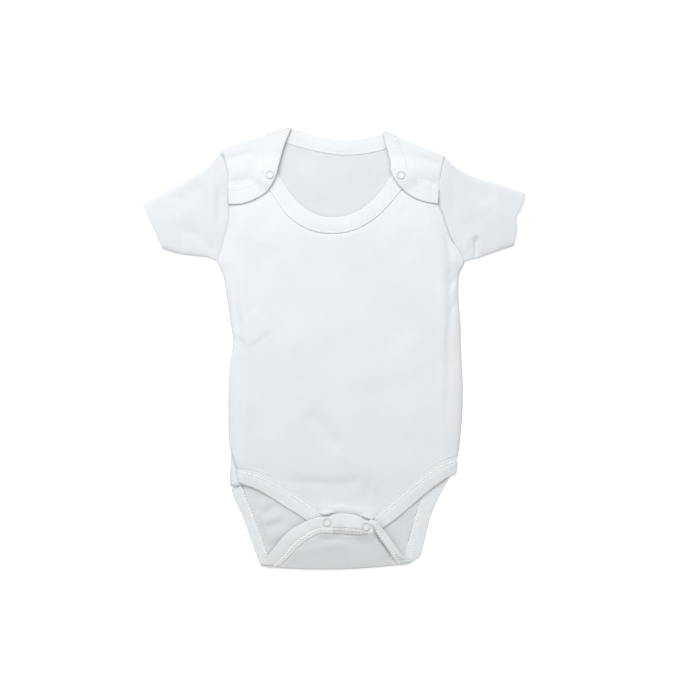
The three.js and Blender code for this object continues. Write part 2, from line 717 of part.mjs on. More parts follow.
const onesie = new THREE.Group();
onesie.name = 'baby_onesie';
onesie.add(
  backPanel(),
  frontPanel(),
  sleeve('left', leftSleeve, 1),
  sleeve('right', rightSleeve, -1),
  frontNeckBinding(),
  backNeckBinding(),
  frontLegBinding('left', leftFrontLeg),
  frontLegBinding('right', rightFrontLeg),
  backLegBinding('left', leftBackLeg, leftFlapEdge, rib),
  backLegBinding('right', rightBackLeg, rightFlapEdge, rolledRib),
  flapEndBinding(),
  tabEndBinding(),
  ...snaps.map(snapRing),
  ...snaps.map(snapStud),
);

export default onesie;
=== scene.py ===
import bisect
import math

import bmesh
import bpy
from mathutils import Matrix, Vector, noise


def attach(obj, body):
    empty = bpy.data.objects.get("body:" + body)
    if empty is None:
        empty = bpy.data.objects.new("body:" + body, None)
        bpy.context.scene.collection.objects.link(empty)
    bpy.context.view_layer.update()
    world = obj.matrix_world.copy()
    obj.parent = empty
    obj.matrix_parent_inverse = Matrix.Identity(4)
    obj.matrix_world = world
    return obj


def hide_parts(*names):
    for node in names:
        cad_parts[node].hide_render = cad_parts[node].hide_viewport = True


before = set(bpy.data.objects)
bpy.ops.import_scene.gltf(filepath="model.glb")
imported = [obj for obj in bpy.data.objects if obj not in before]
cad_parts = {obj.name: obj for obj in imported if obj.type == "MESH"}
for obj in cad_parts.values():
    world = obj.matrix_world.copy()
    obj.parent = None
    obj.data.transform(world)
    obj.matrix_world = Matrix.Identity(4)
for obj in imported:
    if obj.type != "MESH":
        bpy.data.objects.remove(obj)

# A short-sleeved baby bodysuit laid flat, seen straight from above. The tables are in millimetres,
# in the frame of the CAD model: +X to the right, +Y to the neck, +Z up from the table.
MM = 0.001
UP = Vector((0, 0, 1))
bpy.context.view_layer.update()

CLOTH = 1.0  # thickness of the interlock panels, as in the CAD model
DRAWN_CLOTH = 0.95 * CLOTH  # a hair thinner, so that layers that touch stay apart
SLEEVE_CLOTH = 0.62  # drawn thinner, so that the turned hem's two layers fit its 1.4 mm
RIB = 1.6  # folded rib bindings
ROLLED_RIB = 4.2  # the binding that has rolled over on itself
TUCK = 2.0  # how far a panel's edge reaches into its binding
ARMHOLE_TUCK = 0.8  # how far a sleeve reaches under the body along the armhole seam
SEAM_GAP = 0.3  # between pieces that are sewn together
SIDE_INSET = 1.9  # how far the back's edge lies inside the front's rolled side
FRONT_INSET = 0.5  # how far the front's own edge lies inside the outline
BEND_STEPS = 12  # of every round bend
FOLD_RADIUS = 1.65  # of the bends at the shoulders
CROTCH_RADIUS = 0.95  # of the bend at the crotch, which lies flatter than the shoulders
ROLL_SINK = 2.2  # how far the rolled binding's end dives beside the snap
FLAP_PUFF = 2.2  # how far the flap's snapped end stands above its CAD height
BACK_HEIGHT = CLOTH / 2  # of the middle of the cloth's thickness, as all heights here
BACK_RELIEF = 0.35  # how far the back's plain parts stand up between its dimples
FLAP_LOWEST = BACK_HEIGHT + CLOTH + 0.6  # keeps the flap above the back, also beside its roll
TROUGH_DEPTH = 2.6  # of the flap's cloth where it dives under the rolled binding
TROUGH_WIDTH = 2.4
FRONT_BASE = BACK_HEIGHT + CLOTH + SEAM_GAP
FRONT_CROWN = 2.6  # the air between front and back
EDGE_PUFF = 0.9  # how round the front's sides stand beside their seams
LABEL_RELIEF = 0.55
SIDE_ROLL = 1.25  # how far the front rolls down at its sides
SIDE_ROLL_WIDTH = 2.8
WRAP_HEIGHT = 1.9  # of the back where it wraps forward beside the front's left corner
WRAP_ROUNDING = 1.8
LAP_RISE = 2.0  # of a lap or the flap above the front
HEM_RISE = 1.4  # of the laps' lower edges, where only the front lies under them
SNAP_LIFT = 1.6  # how far a closed snap holds its two layers apart
HEM_DEPTH = 21.0  # of a sleeve's turned hem
CUFF_DIP = {"left": 0.0, "right": 3.3}  # how far the middle of a cuff's edge draws back
SEAM_VALLEY = 0.5  # how deep two sewn edges sink between them
VALLEY_WIDTH = 1.3
CREVICE_DEPTH = 0.55  # how deep a panel sinks right beside its binding
CREVICE_WIDTH = 0.9
PUCKER_SIZE = 3.4  # of the ripples beside a sewn edge
PUCKER_REACH = 5.0
RIB_CROWN = 0.22  # how much a binding bulges between its edges
ROLLED_CROWN = 1.4
RIB_RIPPLE = 0.2
GROOVE_WIDTH = 1.8  # of the line that the stitches press into a binding
NECK_GROOVE = 0.14  # its depth on the neck's bindings, and on the legs' ones
LEG_GROOVE = 0.5
CORNER_ROUNDING = 1.6  # of a leg binding's free edge where it goes round the crotch fold

# Side seams and armholes from the leg to the shoulder: y, left x, right x, and 1 where the front
# rolls down over the back
SECTIONS = [
    (-82, -89.0, 106.8, 1), (-58, -90.0, 108.9, 1), (-34, -89.8, 109.6, 1), (-11, -88.2, 108.6, 1),
    (6, -85.9, 108.0, 1), (20, -87.7, 107.7, 1), (44, -91.3, 106.0, 1), (64, -95.0, 106.9, 1),
    (73.5, -99.2, 110.9, 0), (82, -97.0, 107.4, 0), (92, -94.5, 100.2, 0), (102, -91.4, 96.4, 0),
    (112, -89.7, 93.2, 0), (124, -89.6, 88.9, 0), (135, -89.7, 89.2, 0),
]
ARMHOLE_TOP = [(147, -90.1, 90.8), (157, -92.2, 92.9)]

# Where the cloth bends at the shoulders, from the armhole to the neck, and at the crotch
SHOULDER_FOLD = {
    "left": ((-95.6, 168.4), (-35.8, 186.9)),
    "right": ((94.0, 162.0), (40.9, 183.6)),
}

# Bindings: panel edge x, y and free edge x, y
FRONT_NECK = [
    (-89.9, 147.3, -91.9, 160.0), (-76.0, 149.3, -77.0, 163.0), (-64.5, 146.0, -59.0, 160.6),
    (-54.7, 133.9, -46.6, 146.0), (-40.8, 113.9, -30.5, 124.8), (-22.5, 101.2, -17.0, 114.7),
    (-2.6, 97.3, -1.2, 111.4), (17.5, 100.4, 12.9, 113.6), (35.7, 110.9, 27.0, 121.2),
    (47.5, 122.6, 38.3, 132.2), (57.8, 135.1, 48.4, 146.0), (66.5, 144.0, 61.0, 158.0),
    (77.0, 147.6, 78.5, 160.5), (90.4, 145.6, 92.2, 156.6),
]
LEFT_LAP_EDGE = [
    (-89.9, 137.9, -89.5, 122.2), (-79.5, 138.2, -79.0, 122.5), (-70.8, 140.4, -68.0, 126.0),
    (-65.0, 146.0, -56.5, 133.6), (-62.0, 154.0, -49.6, 145.0), (-59.8, 166.0, -46.4, 156.5),
    (-58.2, 174.5, -42.6, 170.5),
]
BACK_NECK = [
    (-39.1, 173.8, -29.5, 185.8), (-20.0, 168.3, -15.5, 181.4), (6.0, 164.0, 6.0, 177.9),
    (28.0, 165.4, 26.0, 178.9), (45.0, 170.0, 35.5, 181.5),
]
RIGHT_LAP_EDGE = [
    (56.2, 171.5, 44.6, 170.0), (60.0, 163.0, 47.6, 158.6), (61.6, 155.0, 48.9, 148.6),
    (65.6, 148.2, 56.8, 136.4), (73.0, 143.0, 65.6, 129.2), (81.5, 138.4, 76.5, 124.6),
    (88.9, 135.6, 88.5, 122.4),
]
LEFT_FRONT_LEG = [
    (-83.0, -101.9, -80.8, -113.6), (-75.0, -102.6, -76.5, -115.6), (-62.0, -106.0, -66.8, -119.0),
    (-47.6, -113.0, -54.2, -126.2), (-33.0, -122.0, -40.5, -135.0), (-20.0, -131.0, -28.0, -142.6),
    (-12.8, -137.4, -13.6, -153.0),
]
RIGHT_FRONT_LEG = [
    (104.9, -91.5, 103.7, -105.8), (89.5, -96.6, 94.0, -110.8), (74.0, -107.5, 81.6, -120.0),
    (60.4, -118.6, 69.0, -130.7), (46.8, -130.5, 56.0, -142.0), (38.4, -138.2, 44.6, -150.4),
    (34.2, -142.2, 34.6, -156.0),
]
# The back is filled in rows from its left edge to its right one, so both back leg tables have the
# same number of rows, and so have both lists of LEG_START
LEFT_BACK_LEG = [
    (-79.6, -113.4, -87.3, -119.9), (-73.9, -124.0, -85.0, -126.8), (-66.3, -143.2, -77.5, -142.8),
    (-60.0, -160.0, -71.2, -160.8), (-53.2, -177.0, -64.9, -178.3),
]
LEFT_FLAP_EDGE = [
    (-38.3, -177.2, -52.6, -171.4), (-31.0, -169.0, -43.0, -159.4), (-22.1, -161.8, -31.4, -150.2),
    (-12.0, -156.4, -12.4, -142.4),
]
RIGHT_BACK_LEG = [
    (73.4, -122.5, 101.6, -103.6), (71.6, -131.6, 90.8, -122.6), (67.0, -143.0, 82.6, -141.2),
    (61.8, -162.0, 76.5, -164.6), (57.8, -174.8, 72.6, -177.2),
]
RIGHT_FLAP_EDGE = [
    (50.0, -178.0, 58.8, -175.6), (45.8, -171.0, 53.4, -168.4), (38.4, -160.6, 45.2, -157.0),
    (34.2, -153.6, 38.4, -148.6),
]
# The rolled binding's last stretch, over the corner of the flap's end
ROLL_END = [(31.6, -150.2, 36.4, -146.2), (27.6, -147.0, 31.6, -144.4)]
NECK_CORNER = {"left": (-57.2, -36.2), "right": (54.4, 41.4)}
CROTCH_CORNER = {"left": (-47.2, -62.4), "right": (52.6, 66.8)}
# The back's edge from the top of its leg binding to the side seam
LEG_START = {
    "left": [(-79.0, -113.0), (-87.0, -117.0), (-87.4, -95)],
    "right": [(75.0, -124.6), (101.8, -105.6), (103.4, -98)],
}
FLAP_END = [
    (-11.6, -156.0, -11.6, -142.4), (-5.0, -156.4, -6.0, -142.6), (1.0, -156.8, 0.6, -139.9),
    (9.4, -157.4, 9.4, -139.5), (20.5, -157.8, 20.0, -141.4), (27.5, -157.2, 27.0, -145.2),
    (33.6, -156.4, 33.4, -146.6),
]
TAB_END = [(-12.3, -139.4, -13.0, -153.4), (10.0, -141.6, 10.0, -155.8), (33.7, -144.0, 34.0, -156.0)]

# Sleeves from the armhole to the cuff: along the underside x, y and along the top x, y
LEFT_SLEEVE = [
    (-99.4, 73.8, -96.3, 164.8), (-107.4, 77.0, -107.3, 154.6), (-119.0, 78.5, -123.0, 145.4),
    (-131.5, 80.2, -138.5, 136.6), (-144.9, 84.3, -162.2, 124.5),
]
RIGHT_SLEEVE = [
    (111.2, 73.4, 94.4, 161.0), (116.4, 75.2, 103.4, 153.7), (123.6, 77.0, 118.9, 146.1),
    (137.5, 82.0, 137.0, 140.8), (151.8, 86.8, 161.8, 132.6),
]
SNAPS = {
    "snap_shoulder_left": (-54.4, 147.6), "snap_shoulder_right": (56.6, 147.2),
    "snap_crotch_left": (-5.9, -146.3), "snap_crotch_right": (27.0, -150.0),
}

# Creases: half width, height (below 0 for a trough) and the points it runs through
FRONT_CREASES = [
    (3.4, -1.0, (-83.9, 118), (-83.4, 70), (-82.4, 30), (-79.6, 5), (-79.9, -34), (-79.4, -99)),
    (3.8, 0.4, (-77.6, 106), (-77.2, 44), (-74.0, 2), (-73.6, -86)),
    (3.4, -1.0, (95.4, 120), (97.8, 66), (97.2, 10), (96.2, -82)),
    (3.8, 0.4, (90.2, 104), (92.2, 55), (91.0, -64)),
    (1.9, -1.5, (107.5, 64), (99.4, 53)), (1.9, -1.2, (106, 46), (99, 29)),
    (2.6, 0.5, (105.6, 55), (97.5, 42)),
    (8.0, -1.0, (-24, -52), (6.4, -88)), (7.0, 0.5, (-12, -47), (19, -81)),
    (4.2, -0.6, (-42, -112.6), (-6, -114.2), (28, -113.5)), (3.6, 0.3, (-34, -107.8), (18, -108.6)),
    (3.0, -0.6, (29.9, -110), (29.5, -141)), (2.6, 0.35, (34.2, -110), (33.7, -138)),
    (16, -0.6, (-64, 88), (-14, 22)), (18, -0.6, (12, 70), (70, 4)), (14, -0.5, (-36, -12), (-66, -78)),
    (15, -0.5, (44, -22), (68, -92)), (15, 0.45, (-16, 13), (42, -29)), (9, -0.4, (76, 96), (34, 66)),
    (7, -0.5, (-50, 122), (-66, 92)), (7, -0.5, (58, 122), (72, 92)),
]
BACK_CREASES = [
    (9.0, 1.5, (-63.0, -136.0), (-46.0, -166.0)), (2.0, -1.6, (-70.4, -129.2), (-57.6, -123.6)),
    (2.3, -2.3, (-63.0, -144.3), (-44.6, -132.4)), (2.3, -1.4, (-59.0, -152.6), (-41.0, -148.6)),
    (2.4, 0.8, (-64.0, -135.5), (-48.0, -128.2)), (2.6, 0.7, (-60.0, -148.6), (-44.0, -141.0)),
    (4.2, 0.6, (66.6, -133.0), (61.4, -161.0)), (3.6, -0.6, (58.6, -142.0), (54.2, -170.0)),
    (7, 0.5, (-23, 156), (-12, 126)), (7, -0.5, (27, 158), (18, 128)),
    (14, 0.5, (-40, -54), (40, -100)), (18, 0.5, (-64, 65), (54, 25)),
]
LAP_CREASES = [
    (3.0, -0.6, (-94.5, 159), (-66, 167.5)), (5.0, 0.5, (-88, 147), (-63, 158.5)),
    (2.4, -0.4, (-90, 141), (-67, 144)), (3.0, -0.6, (92.5, 155), (67, 165)),
    (5.0, 0.5, (88, 146), (65, 156.5)), (2.4, -0.4, (88, 138.6), (72, 145.5)),
    (4.0, 0.6, (-40, -175), (10, -165)), (4.4, -0.7, (0, -181), (40, -171)),
    (2.6, -0.5, (-14, -162), (30, -163.5)),
    (6.0, -0.9, (12, -172), (34, -164)),
]
SLEEVE_CREASES = [
    (2.6, -0.7, (-98.8, 162), (-98.2, 102)), (2.6, 0.4, (-103.2, 153), (-102.2, 108)),
    (4.5, -0.6, (-110, 95), (-131, 99.6)), (7.0, 0.7, (-116, 120), (-138, 108)),
    (2.8, -0.7, (-103, 82), (-113, 95)), (6.0, -0.7, (-112, 140), (-132, 122)),
    (1.7, -3.4, (121.2, 96.0), (120.2, 75.0)), (2.6, 0.7, (115.6, 97.6), (111, 79.6)),
    (5.0, -0.6, (110, 102), (124, 114)), (2.8, -0.6, (101.2, 153), (100.4, 112)),
    (7.0, 0.6, (126, 125), (138, 101)),
    (6.0, -0.7, (112, 138), (134, 128)),
]
# Bunched cloth of the front's tab, just above the edge of the flap that is snapped over it
TAB_FOLDS = [
    (5.0, 1.0, (-16, -138.6), (-4.0, -136.6), (10.0, -135.8), (24.0, -138.2), (40, -143)),
    (1.9, 2.4, (-13.0, -140.9), (-8.0, -140.6), (0.0, -139.4)),
    (1.9, 2.3, (23.0, -142.0), (28.0, -143.6), (35.0, -145.6)),
    (2.2, -0.8, (-6.4, -133.4), (9.0, -130.7), (23.8, -134.4)),
]
# The care label sewn into the left side seam shows through the front as a faint flat step
LABEL = [(-66.3, 34.4), (-53.6, 14.9), (-73.1, 1.3), (-84.0, 12.3)]
# The rings that turn a sleeve's hem inside: how far in, and how far back from the cuff
HEM_TURN = [(0.12, -0.3), (0.5, -0.32), (0.68, 0.1)]
HEM_INSIDE = 0.7
# Half of a ring snap's section, from its hole outwards: radius and height
RING_PROFILE = [
    (2.3, -0.3), (2.3, 0.4), (2.5, 0.74), (2.9, 0.9), (3.4, 0.84), (3.8, 0.56), (4.05, 0.1), (4.05, -0.3),
]


def lerp(a, b, t):
    return a + (b - a) * t


def mix(p, q, t):
    """The point at share t of the way from p to q."""
    return tuple(lerp(a, b, t) for a, b in zip(p, q))


def distance(p, q):
    return math.hypot(p[0] - q[0], p[1] - q[1])


def smooth(x, low, high):
    """0 at low, 1 at high and a soft step between them."""
    t = min(1.0, max(0.0, (x - low) / (high - low)))
    return t * t * (3 - 2 * t)


def shares(count, ease=0.0):
    """Shares from 0 to 1, closer together near both ends where ease is above 0."""
    return [i / count - ease * math.sin(2 * math.pi * i / count) / (2 * math.pi) for i in range(count + 1)]


def dense(points, steps=14):
    """A centripetal Catmull-Rom curve through the points, in short straight steps."""
    points = [Vector((p[0], p[1])) for p in points]
    points = [2 * points[0] - points[1], *points, 2 * points[-1] - points[-2]]
    line = [points[1]]
    for i in range(1, len(points) - 2):
        p0, p1, p2, p3 = points[i - 1:i + 3]
        t1 = math.sqrt((p1 - p0).length)
        t2 = t1 + math.sqrt((p2 - p1).length)
        t3 = t2 + math.sqrt((p3 - p2).length)
        for k in range(1, steps + 1):
            t = lerp(t1, t2, k / steps)
            a1 = p0 * ((t1 - t) / t1) + p1 * (t / t1)
            a2 = p1 * ((t2 - t) / (t2 - t1)) + p2 * ((t - t1) / (t2 - t1))
            a3 = p2 * ((t3 - t) / (t3 - t2)) + p3 * ((t - t2) / (t3 - t2))
            b1 = a1 * ((t2 - t) / t2) + a2 * (t / t2)
            b2 = a2 * ((t3 - t) / (t3 - t1)) + a3 * ((t - t1) / (t3 - t1))
            line.append(b1 * ((t2 - t) / (t2 - t1)) + b2 * ((t - t1) / (t2 - t1)))
    return line


def refine(points, times):
    """Every point and the ones between it and the next, on a smooth curve."""
    return [tuple(point) for point in dense(points, times)]


def along(points, parts):
    """Points at given shares of the curve's length."""
    line = dense(points)
    lengths = [0.0]
    for a, b in zip(line, line[1:]):
        lengths.append(lengths[-1] + (b - a).length)
    found = []
    for share in parts:
        want = share * lengths[-1]
        i = min(len(line) - 2, max(0, bisect.bisect_right(lengths, want) - 1))
        t = (want - lengths[i]) / max(1e-9, lengths[i + 1] - lengths[i])
        found.append(tuple(line[i].lerp(line[i + 1], min(1.0, t))))
    return found


def patch(bottom, top, left, right, parts):
    """Plan points that fill the space between four edges, in rows from bottom to top."""
    heights = [a[1] + b[1] for a, b in zip(left, right)]
    rows = []
    for row, height in enumerate(heights):
        v = (height - heights[0]) / (heights[-1] - heights[0])
        rows.append([tuple(
            (1 - v) * bottom[c][k] + v * top[c][k] + (1 - u) * left[row][k] + u * right[row][k]
            - (1 - v) * ((1 - u) * left[0][k] + u * right[0][k])
            - v * ((1 - u) * left[-1][k] + u * right[-1][k]) for k in (0, 1)) for c, u in enumerate(parts)])
    return rows


def panel_edge(rows):
    """The edge of a binding on its panel."""
    return [row[:2] for row in rows]


def free_edge(rows):
    """The folded edge of a binding."""
    return [row[2:] for row in rows]


def seam_edge(rows, reach=TUCK):
    """The edge of the panel that a binding holds, some way inside the binding."""
    edge = []
    for px, py, fx, fy in rows:
        length = math.hypot(fx - px, fy - py)
        edge.append((px + (fx - px) * reach / length, py + (fy - py) * reach / length))
    return edge


def edge_at(y, side):
    """How far out a side seam or armhole lies at y."""
    column = 1 if side == "left" else 2
    after = next((i for i, row in enumerate(SECTIONS) if row[0] > y), len(SECTIONS))
    if after == 0:
        return SECTIONS[0][column]
    if after == len(SECTIONS):
        return SECTIONS[-1][column]
    low, high = SECTIONS[after - 1], SECTIONS[after]
    return lerp(low[column], high[column], (y - low[0]) / (high[0] - low[0]))


def crotch_fold(x):
    """The crotch's bend: a shallow arc across the bottom."""
    return -186.15 + 0.0009 * (x + 10) ** 2


def on_shoulder(side, x):
    """The point of a shoulder's bend at x."""
    (ax, ay), (nx, ny) = SHOULDER_FOLD[side]
    return (x, lerp(ay, ny, (x - ax) / (nx - ax)))


def fold_normal(side):
    """The level direction in which a shoulder's bend faces outwards."""
    (ax, ay), (nx, ny) = SHOULDER_FOLD[side]
    dx, dy = (nx - ax, ny - ay) if side == "left" else (ax - nx, ay - ny)
    return Vector((-dy, dx, 0)).normalized()


def crease_height(x, y, creases):
    """Soft troughs and ridges that fade at both ends, bent by noise so that none runs straight."""
    stray, size = 1.3, 27
    wx = x + stray * noise.noise(Vector((x / size, y / size, 3.1)))
    wy = y + stray * noise.noise(Vector((x / size, y / size, 9.7)))
    height = 0.0
    for width, depth, *path in creases:
        reach = 9 * width * width
        nearest, place, total = reach, 0.0, 0.0
        for (x0, y0), (x1, y1) in zip(path, path[1:]):
            dx, dy = x1 - x0, y1 - y0
            length = math.hypot(dx, dy)
            t = min(1.0, max(0.0, ((wx - x0) * dx + (wy - y0) * dy) / (length * length)))
            squared = (wx - x0 - t * dx) ** 2 + (wy - y0 - t * dy) ** 2
            if squared < nearest:
                nearest, place = squared, total + t * length
            total += length
        if nearest < reach:
            ends = smooth(min(place, total - place) / total, -0.02, 0.2)
            height += depth * ends * math.exp(-nearest / (width * width))
    return height


def undulation(x, y, size, amount):
    """The slight waviness of cloth that isn't ironed."""
    return amount * noise.noise(Vector((x / size, y / size, 5.3)))


def inside_label(x, y):
    """1 well inside the label's outline, falling to 0 within a millimetre of its edge."""
    nearest = 99.0
    for (x0, y0), (x1, y1) in zip(LABEL, LABEL[1:] + LABEL[:1]):
        dx, dy = x1 - x0, y1 - y0
        nearest = min(nearest, ((x - x0) * dy - (y - y0) * dx) / math.hypot(dx, dy))
    return smooth(nearest, -0.6, 0.8)


def front_height(x, y, fine=False):
    """The front's middle plane: crowned with air, falling to the back at its sides, tab and neck."""
    from_side = min(x - edge_at(y, "left"), edge_at(y, "right") - x)
    fade = smooth(from_side, 0, 15) * smooth(y, -136, -92) * (1 - smooth(y, 95, 140))
    puff = (smooth(from_side, 0, 4) * (1 - smooth(from_side, 4, 24))
            * smooth(y, -110, -90) * (1 - smooth(y, 30, 72)))
    rise = FRONT_CROWN * fade + EDGE_PUFF * puff
    if fine:
        soft = min(1, 2.2 * fade + 0.25 * smooth(from_side, 1, 5))
        rise += (crease_height(x, y, FRONT_CREASES) + undulation(x, y, 36, 0.5)
                 + undulation(x, y, 13, 0.16) + LABEL_RELIEF * inside_label(x, y)) * soft
        rise += crease_height(x, y, TAB_FOLDS)
    return FRONT_BASE + max(0.0, rise)


def upper_height(x, y, fine=False):
    """A lap's or flap's middle plane: above the front, and held up further round each closed snap."""
    near = min(math.hypot(x - sx, y - sy) for sx, sy in SNAPS.values())
    rise = LAP_RISE if y < 0 else lerp(HEM_RISE, LAP_RISE, smooth(y, 136, 147))
    height = front_height(x, y) + rise + SNAP_LIFT * (1 - smooth(near, 6.5, 17))
    if fine:
        height += max(-0.5, crease_height(x, y, LAP_CREASES)) + undulation(x, y, 12, 0.18)
    return height


def flap_height(x, y, fine=False):
    """The flap: high where its end is snapped to the front's tab, and sloping down to the crotch fold."""
    end = -154.5
    t = min(1.0, max(0.0, (end - y) / (end - crotch_fold(x))))
    return lerp(upper_height(x, y, fine) + FLAP_PUFF, BACK_HEIGHT + 2 * CROTCH_RADIUS, t ** 1.7)


def back_height(x, y):
    """The back lies on the table and only its soft ridges and dimples stand up from it."""
    relief = BACK_RELIEF + crease_height(x, y, BACK_CREASES) + undulation(x, y, 15, 0.2)
    return BACK_HEIGHT + max(0.0, relief)


def valley(distance):
    """How deep a sewn edge sinks towards its seam."""
    return SEAM_VALLEY * math.exp(-((distance / VALLEY_WIDTH) ** 2))


def crevice(distance):
    """How deep a panel sinks right beside the binding that it is sewn into."""
    return CREVICE_DEPTH * math.exp(-((distance / CREVICE_WIDTH) ** 2))


def pucker(x, y, distance, amount=0.3):
    """Small ripples that a sewn edge gathers into the cloth beside it."""
    ripple = noise.noise(Vector((x / PUCKER_SIZE, y / PUCKER_SIZE, 1.7)))
    return amount * ripple * math.exp(-((distance / PUCKER_REACH) ** 2))


def lengths_of(points):
    """The length along the points up to each of them."""
    total = [0.0]
    for a, b in zip(points, points[1:]):
        total.append(total[-1] + (Vector(b) - Vector(a)).length)
    return total


def make(name, mesh_bm, material, nodes=()):
    """Turns a bmesh into a named piece that rides on the part's one body."""
    mesh = bpy.data.meshes.new(name)
    mesh_bm.to_mesh(mesh)
    mesh_bm.free()
    mesh.polygons.foreach_set("use_smooth", [True] * len(mesh.polygons))
    mesh.materials.append(material)
    piece = bpy.data.objects.new(name, mesh)
    bpy.context.scene.collection.objects.link(piece)
    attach(piece, "root")
    if nodes:
        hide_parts(*nodes)
    return piece


def cloth_bmesh(points, keep=None, closed=False, paint=None):
    """A bmesh grid whose points go to points[row][column], in mm, with UVs in metres along the cloth;
    paint gives the material of the face at a row and a column."""
    rows, columns = len(points) - 1, len(points[0]) - 1
    bm = bmesh.new()
    bmesh.ops.create_grid(bm, x_segments=columns, y_segments=rows, size=0.5)
    spots = {v: (round((v.co.y + 0.5) * rows), round((v.co.x + 0.5) * columns)) for v in bm.verts}

    def cell(face):
        return min(spots[v][0] for v in face.verts), min(spots[v][1] for v in face.verts)

    across = lengths_of(points[rows // 2])
    down = lengths_of([row[columns // 4] for row in points])
    uv = bm.loops.layers.uv.new("cloth")
    for face in bm.faces:
        for loop in face.loops:
            row, column = spots[loop.vert]
            loop[uv].uv = (across[column] * MM, down[row] * MM)
        if paint:
            face.material_index = paint(*cell(face))
    if keep:
        gone = [face for face in bm.faces if not keep(*cell(face))]
        bmesh.ops.delete(bm, geom=gone, context="FACES")
    for vert, (row, column) in spots.items():
        if vert.is_valid:
            vert.co = Vector(points[row][column]) * MM
    if closed:
        bmesh.ops.remove_doubles(bm, verts=bm.verts, dist=1e-6)
        bmesh.ops.holes_fill(bm, edges=[e for e in bm.edges if e.is_boundary], sides=0)
        bmesh.ops.recalc_face_normals(bm, faces=bm.faces)
    return bm


def thicken(piece, thickness):
    """Gives a sheet its thickness, half to each side."""
    solid = piece.modifiers.new("thickness", "SOLIDIFY")
    solid.thickness = thickness * MM
    solid.offset = 0.0


# A binding's section: shares across it, close together at both edges and at the seam's groove
ACROSS = [0, 0.008, 0.025, 0.055, 0.1, 0.15, 0.19, 0.22, 0.245, 0.27, 0.3, 0.36, 0.44, 0.52, 0.6, 0.68,
          0.76, 0.83, 0.89, 0.94, 0.972, 0.992, 1]
STITCH_SHARE = 0.245


def strip(rows, times, height):
    """Sections of a flat stretch of binding: for each, the points across it with their upward direction."""
    sections = []
    for p, f in zip(refine(panel_edge(rows), times), refine(free_edge(rows), times)):
        section = []
        for share in ACROSS:
            x, y = mix(p, f, share)
            section.append((Vector((x, y, height(x, y) + (RIB - CLOTH) / 2)), UP))
        sections.append(section)
    return sections


def around_fold(panel, free, normal, radius=FOLD_RADIUS, rounding=0.0):
    """Sections of a binding on its way round a fold, from the back's height up to a lap or flap;
    rounding draws its free edge in, so that the corner isn't sharp."""
    sections = []
    for step in range(1, BEND_STEPS):
        angle = math.pi * step / BEND_STEPS
        up = Vector((-normal.x * math.sin(angle), -normal.y * math.sin(angle), math.cos(angle)))
        out = normal * (radius * math.sin(angle))
        lift = RIB / 2 + radius * (1 - math.cos(angle))
        inward = Vector((panel[0] - free[0], panel[1] - free[1], 0)).normalized()
        inward *= rounding * math.sin(angle)
        section = []
        for share in ACROSS:
            flat = Vector((*mix(panel, free, share), lift))
            less = 1 - 0.5 * rounding * smooth(share, 0.5, 1)
            section.append((flat + out * less + inward * smooth(share, 0.4, 1), up))
        sections.append(section)
    return sections


def binding_surface(section, place, thick, rolled, flush, sewn):
    """Upper and lower points of one section: rounded edges, a stitched groove and a soft crown.
    rolled turns it into a round tube, and flush sinks its seam edge; both are shares."""
    width = (section[-1][0] - section[0][0]).length
    radius = min(thick / 2, width / 2)
    upper, lower = [], []
    for share, (point, up) in zip(ACROSS, section):
        edge = min(share * (1 + 3 * flush), 1 - share) * width
        bulge = math.sqrt(max(0.0, 1 - (1 - min(1.0, edge / radius)) ** 2))
        half = thick / 2 * bulge
        groove = sewn * math.exp(-(((share - STITCH_SHARE) * width / GROOVE_WIDTH) ** 2)) * bulge
        groove *= 1 - smooth(width, 15.5, 19)
        crown = RIB_CROWN * math.sin(math.pi * share) * bulge
        ripple = RIB_RIPPLE * noise.noise(Vector((place / 3.6, share * width / 7, 2.4))) * bulge
        if rolled:
            groove *= 1 - rolled
            tube = math.sqrt(max(0.0, 1 - (2 * share - 1) ** 2))
            half = lerp(half, thick / 2 * tube, rolled)
            crown = lerp(crown, ROLLED_CROWN * tube, rolled)
        flat = flush * (0.6 * math.exp(-((share * width / 2.2) ** 2)) + 0.25 * bulge)
        upper.append(point + up * (half - groove + crown + ripple - flat))
        lower.append(point - up * (half - (0 if rolled else groove * 0.6)))
    return upper, lower


def binding(name, sections, nodes, rolled=None, flush=None):
    """A folded rib strip as one closed, flattened and rounded form, and its upper rows of points."""
    middle = [section[len(ACROSS) // 2][0] for section in sections]
    place = lengths_of(middle)
    points, tops = [], []
    for i, section in enumerate(sections):
        share = rolled(i) if rolled else 0.0
        level = flush(i) if flush else 0.0
        sewn = NECK_GROOVE if "neck" in name else LEG_GROOVE
        upper, lower = binding_surface(section, place[i], lerp(RIB, ROLLED_RIB, share), share, level, sewn)
        points.append(upper + lower[-2::-1])
        tops.append(upper)
    piece = make(name, cloth_bmesh(points, closed=True), cotton_rib, nodes)
    return piece, tops


def srgb(code):
    """Linear colour of an sRGB hex code."""
    parts = [int(code[i:i + 2], 16) / 255 for i in (1, 3, 5)]
    return (*[c / 12.92 if c <= 0.04045 else ((c + 0.055) / 1.055) ** 2.4 for c in parts], 1.0)


def add(tree, kind, inputs=None, **settings):
    """Adds a node with its settings, and with values or links for its inputs."""
    made = tree.nodes.new(kind)
    for key, value in settings.items():
        setattr(made, key, value)
    for key, value in (inputs or {}).items():
        if isinstance(value, bpy.types.NodeSocket):
            tree.links.new(value, made.inputs[key])
        else:
            made.inputs[key].default_value = value
    return made


def new_material(name):
    material = bpy.data.materials.new(name)
    material.use_nodes = True
    material.node_tree.nodes.clear()
    return material, material.node_tree


# A wave texture's bands repeat every pi / 10 units at scale 1
BAND = math.pi / 10


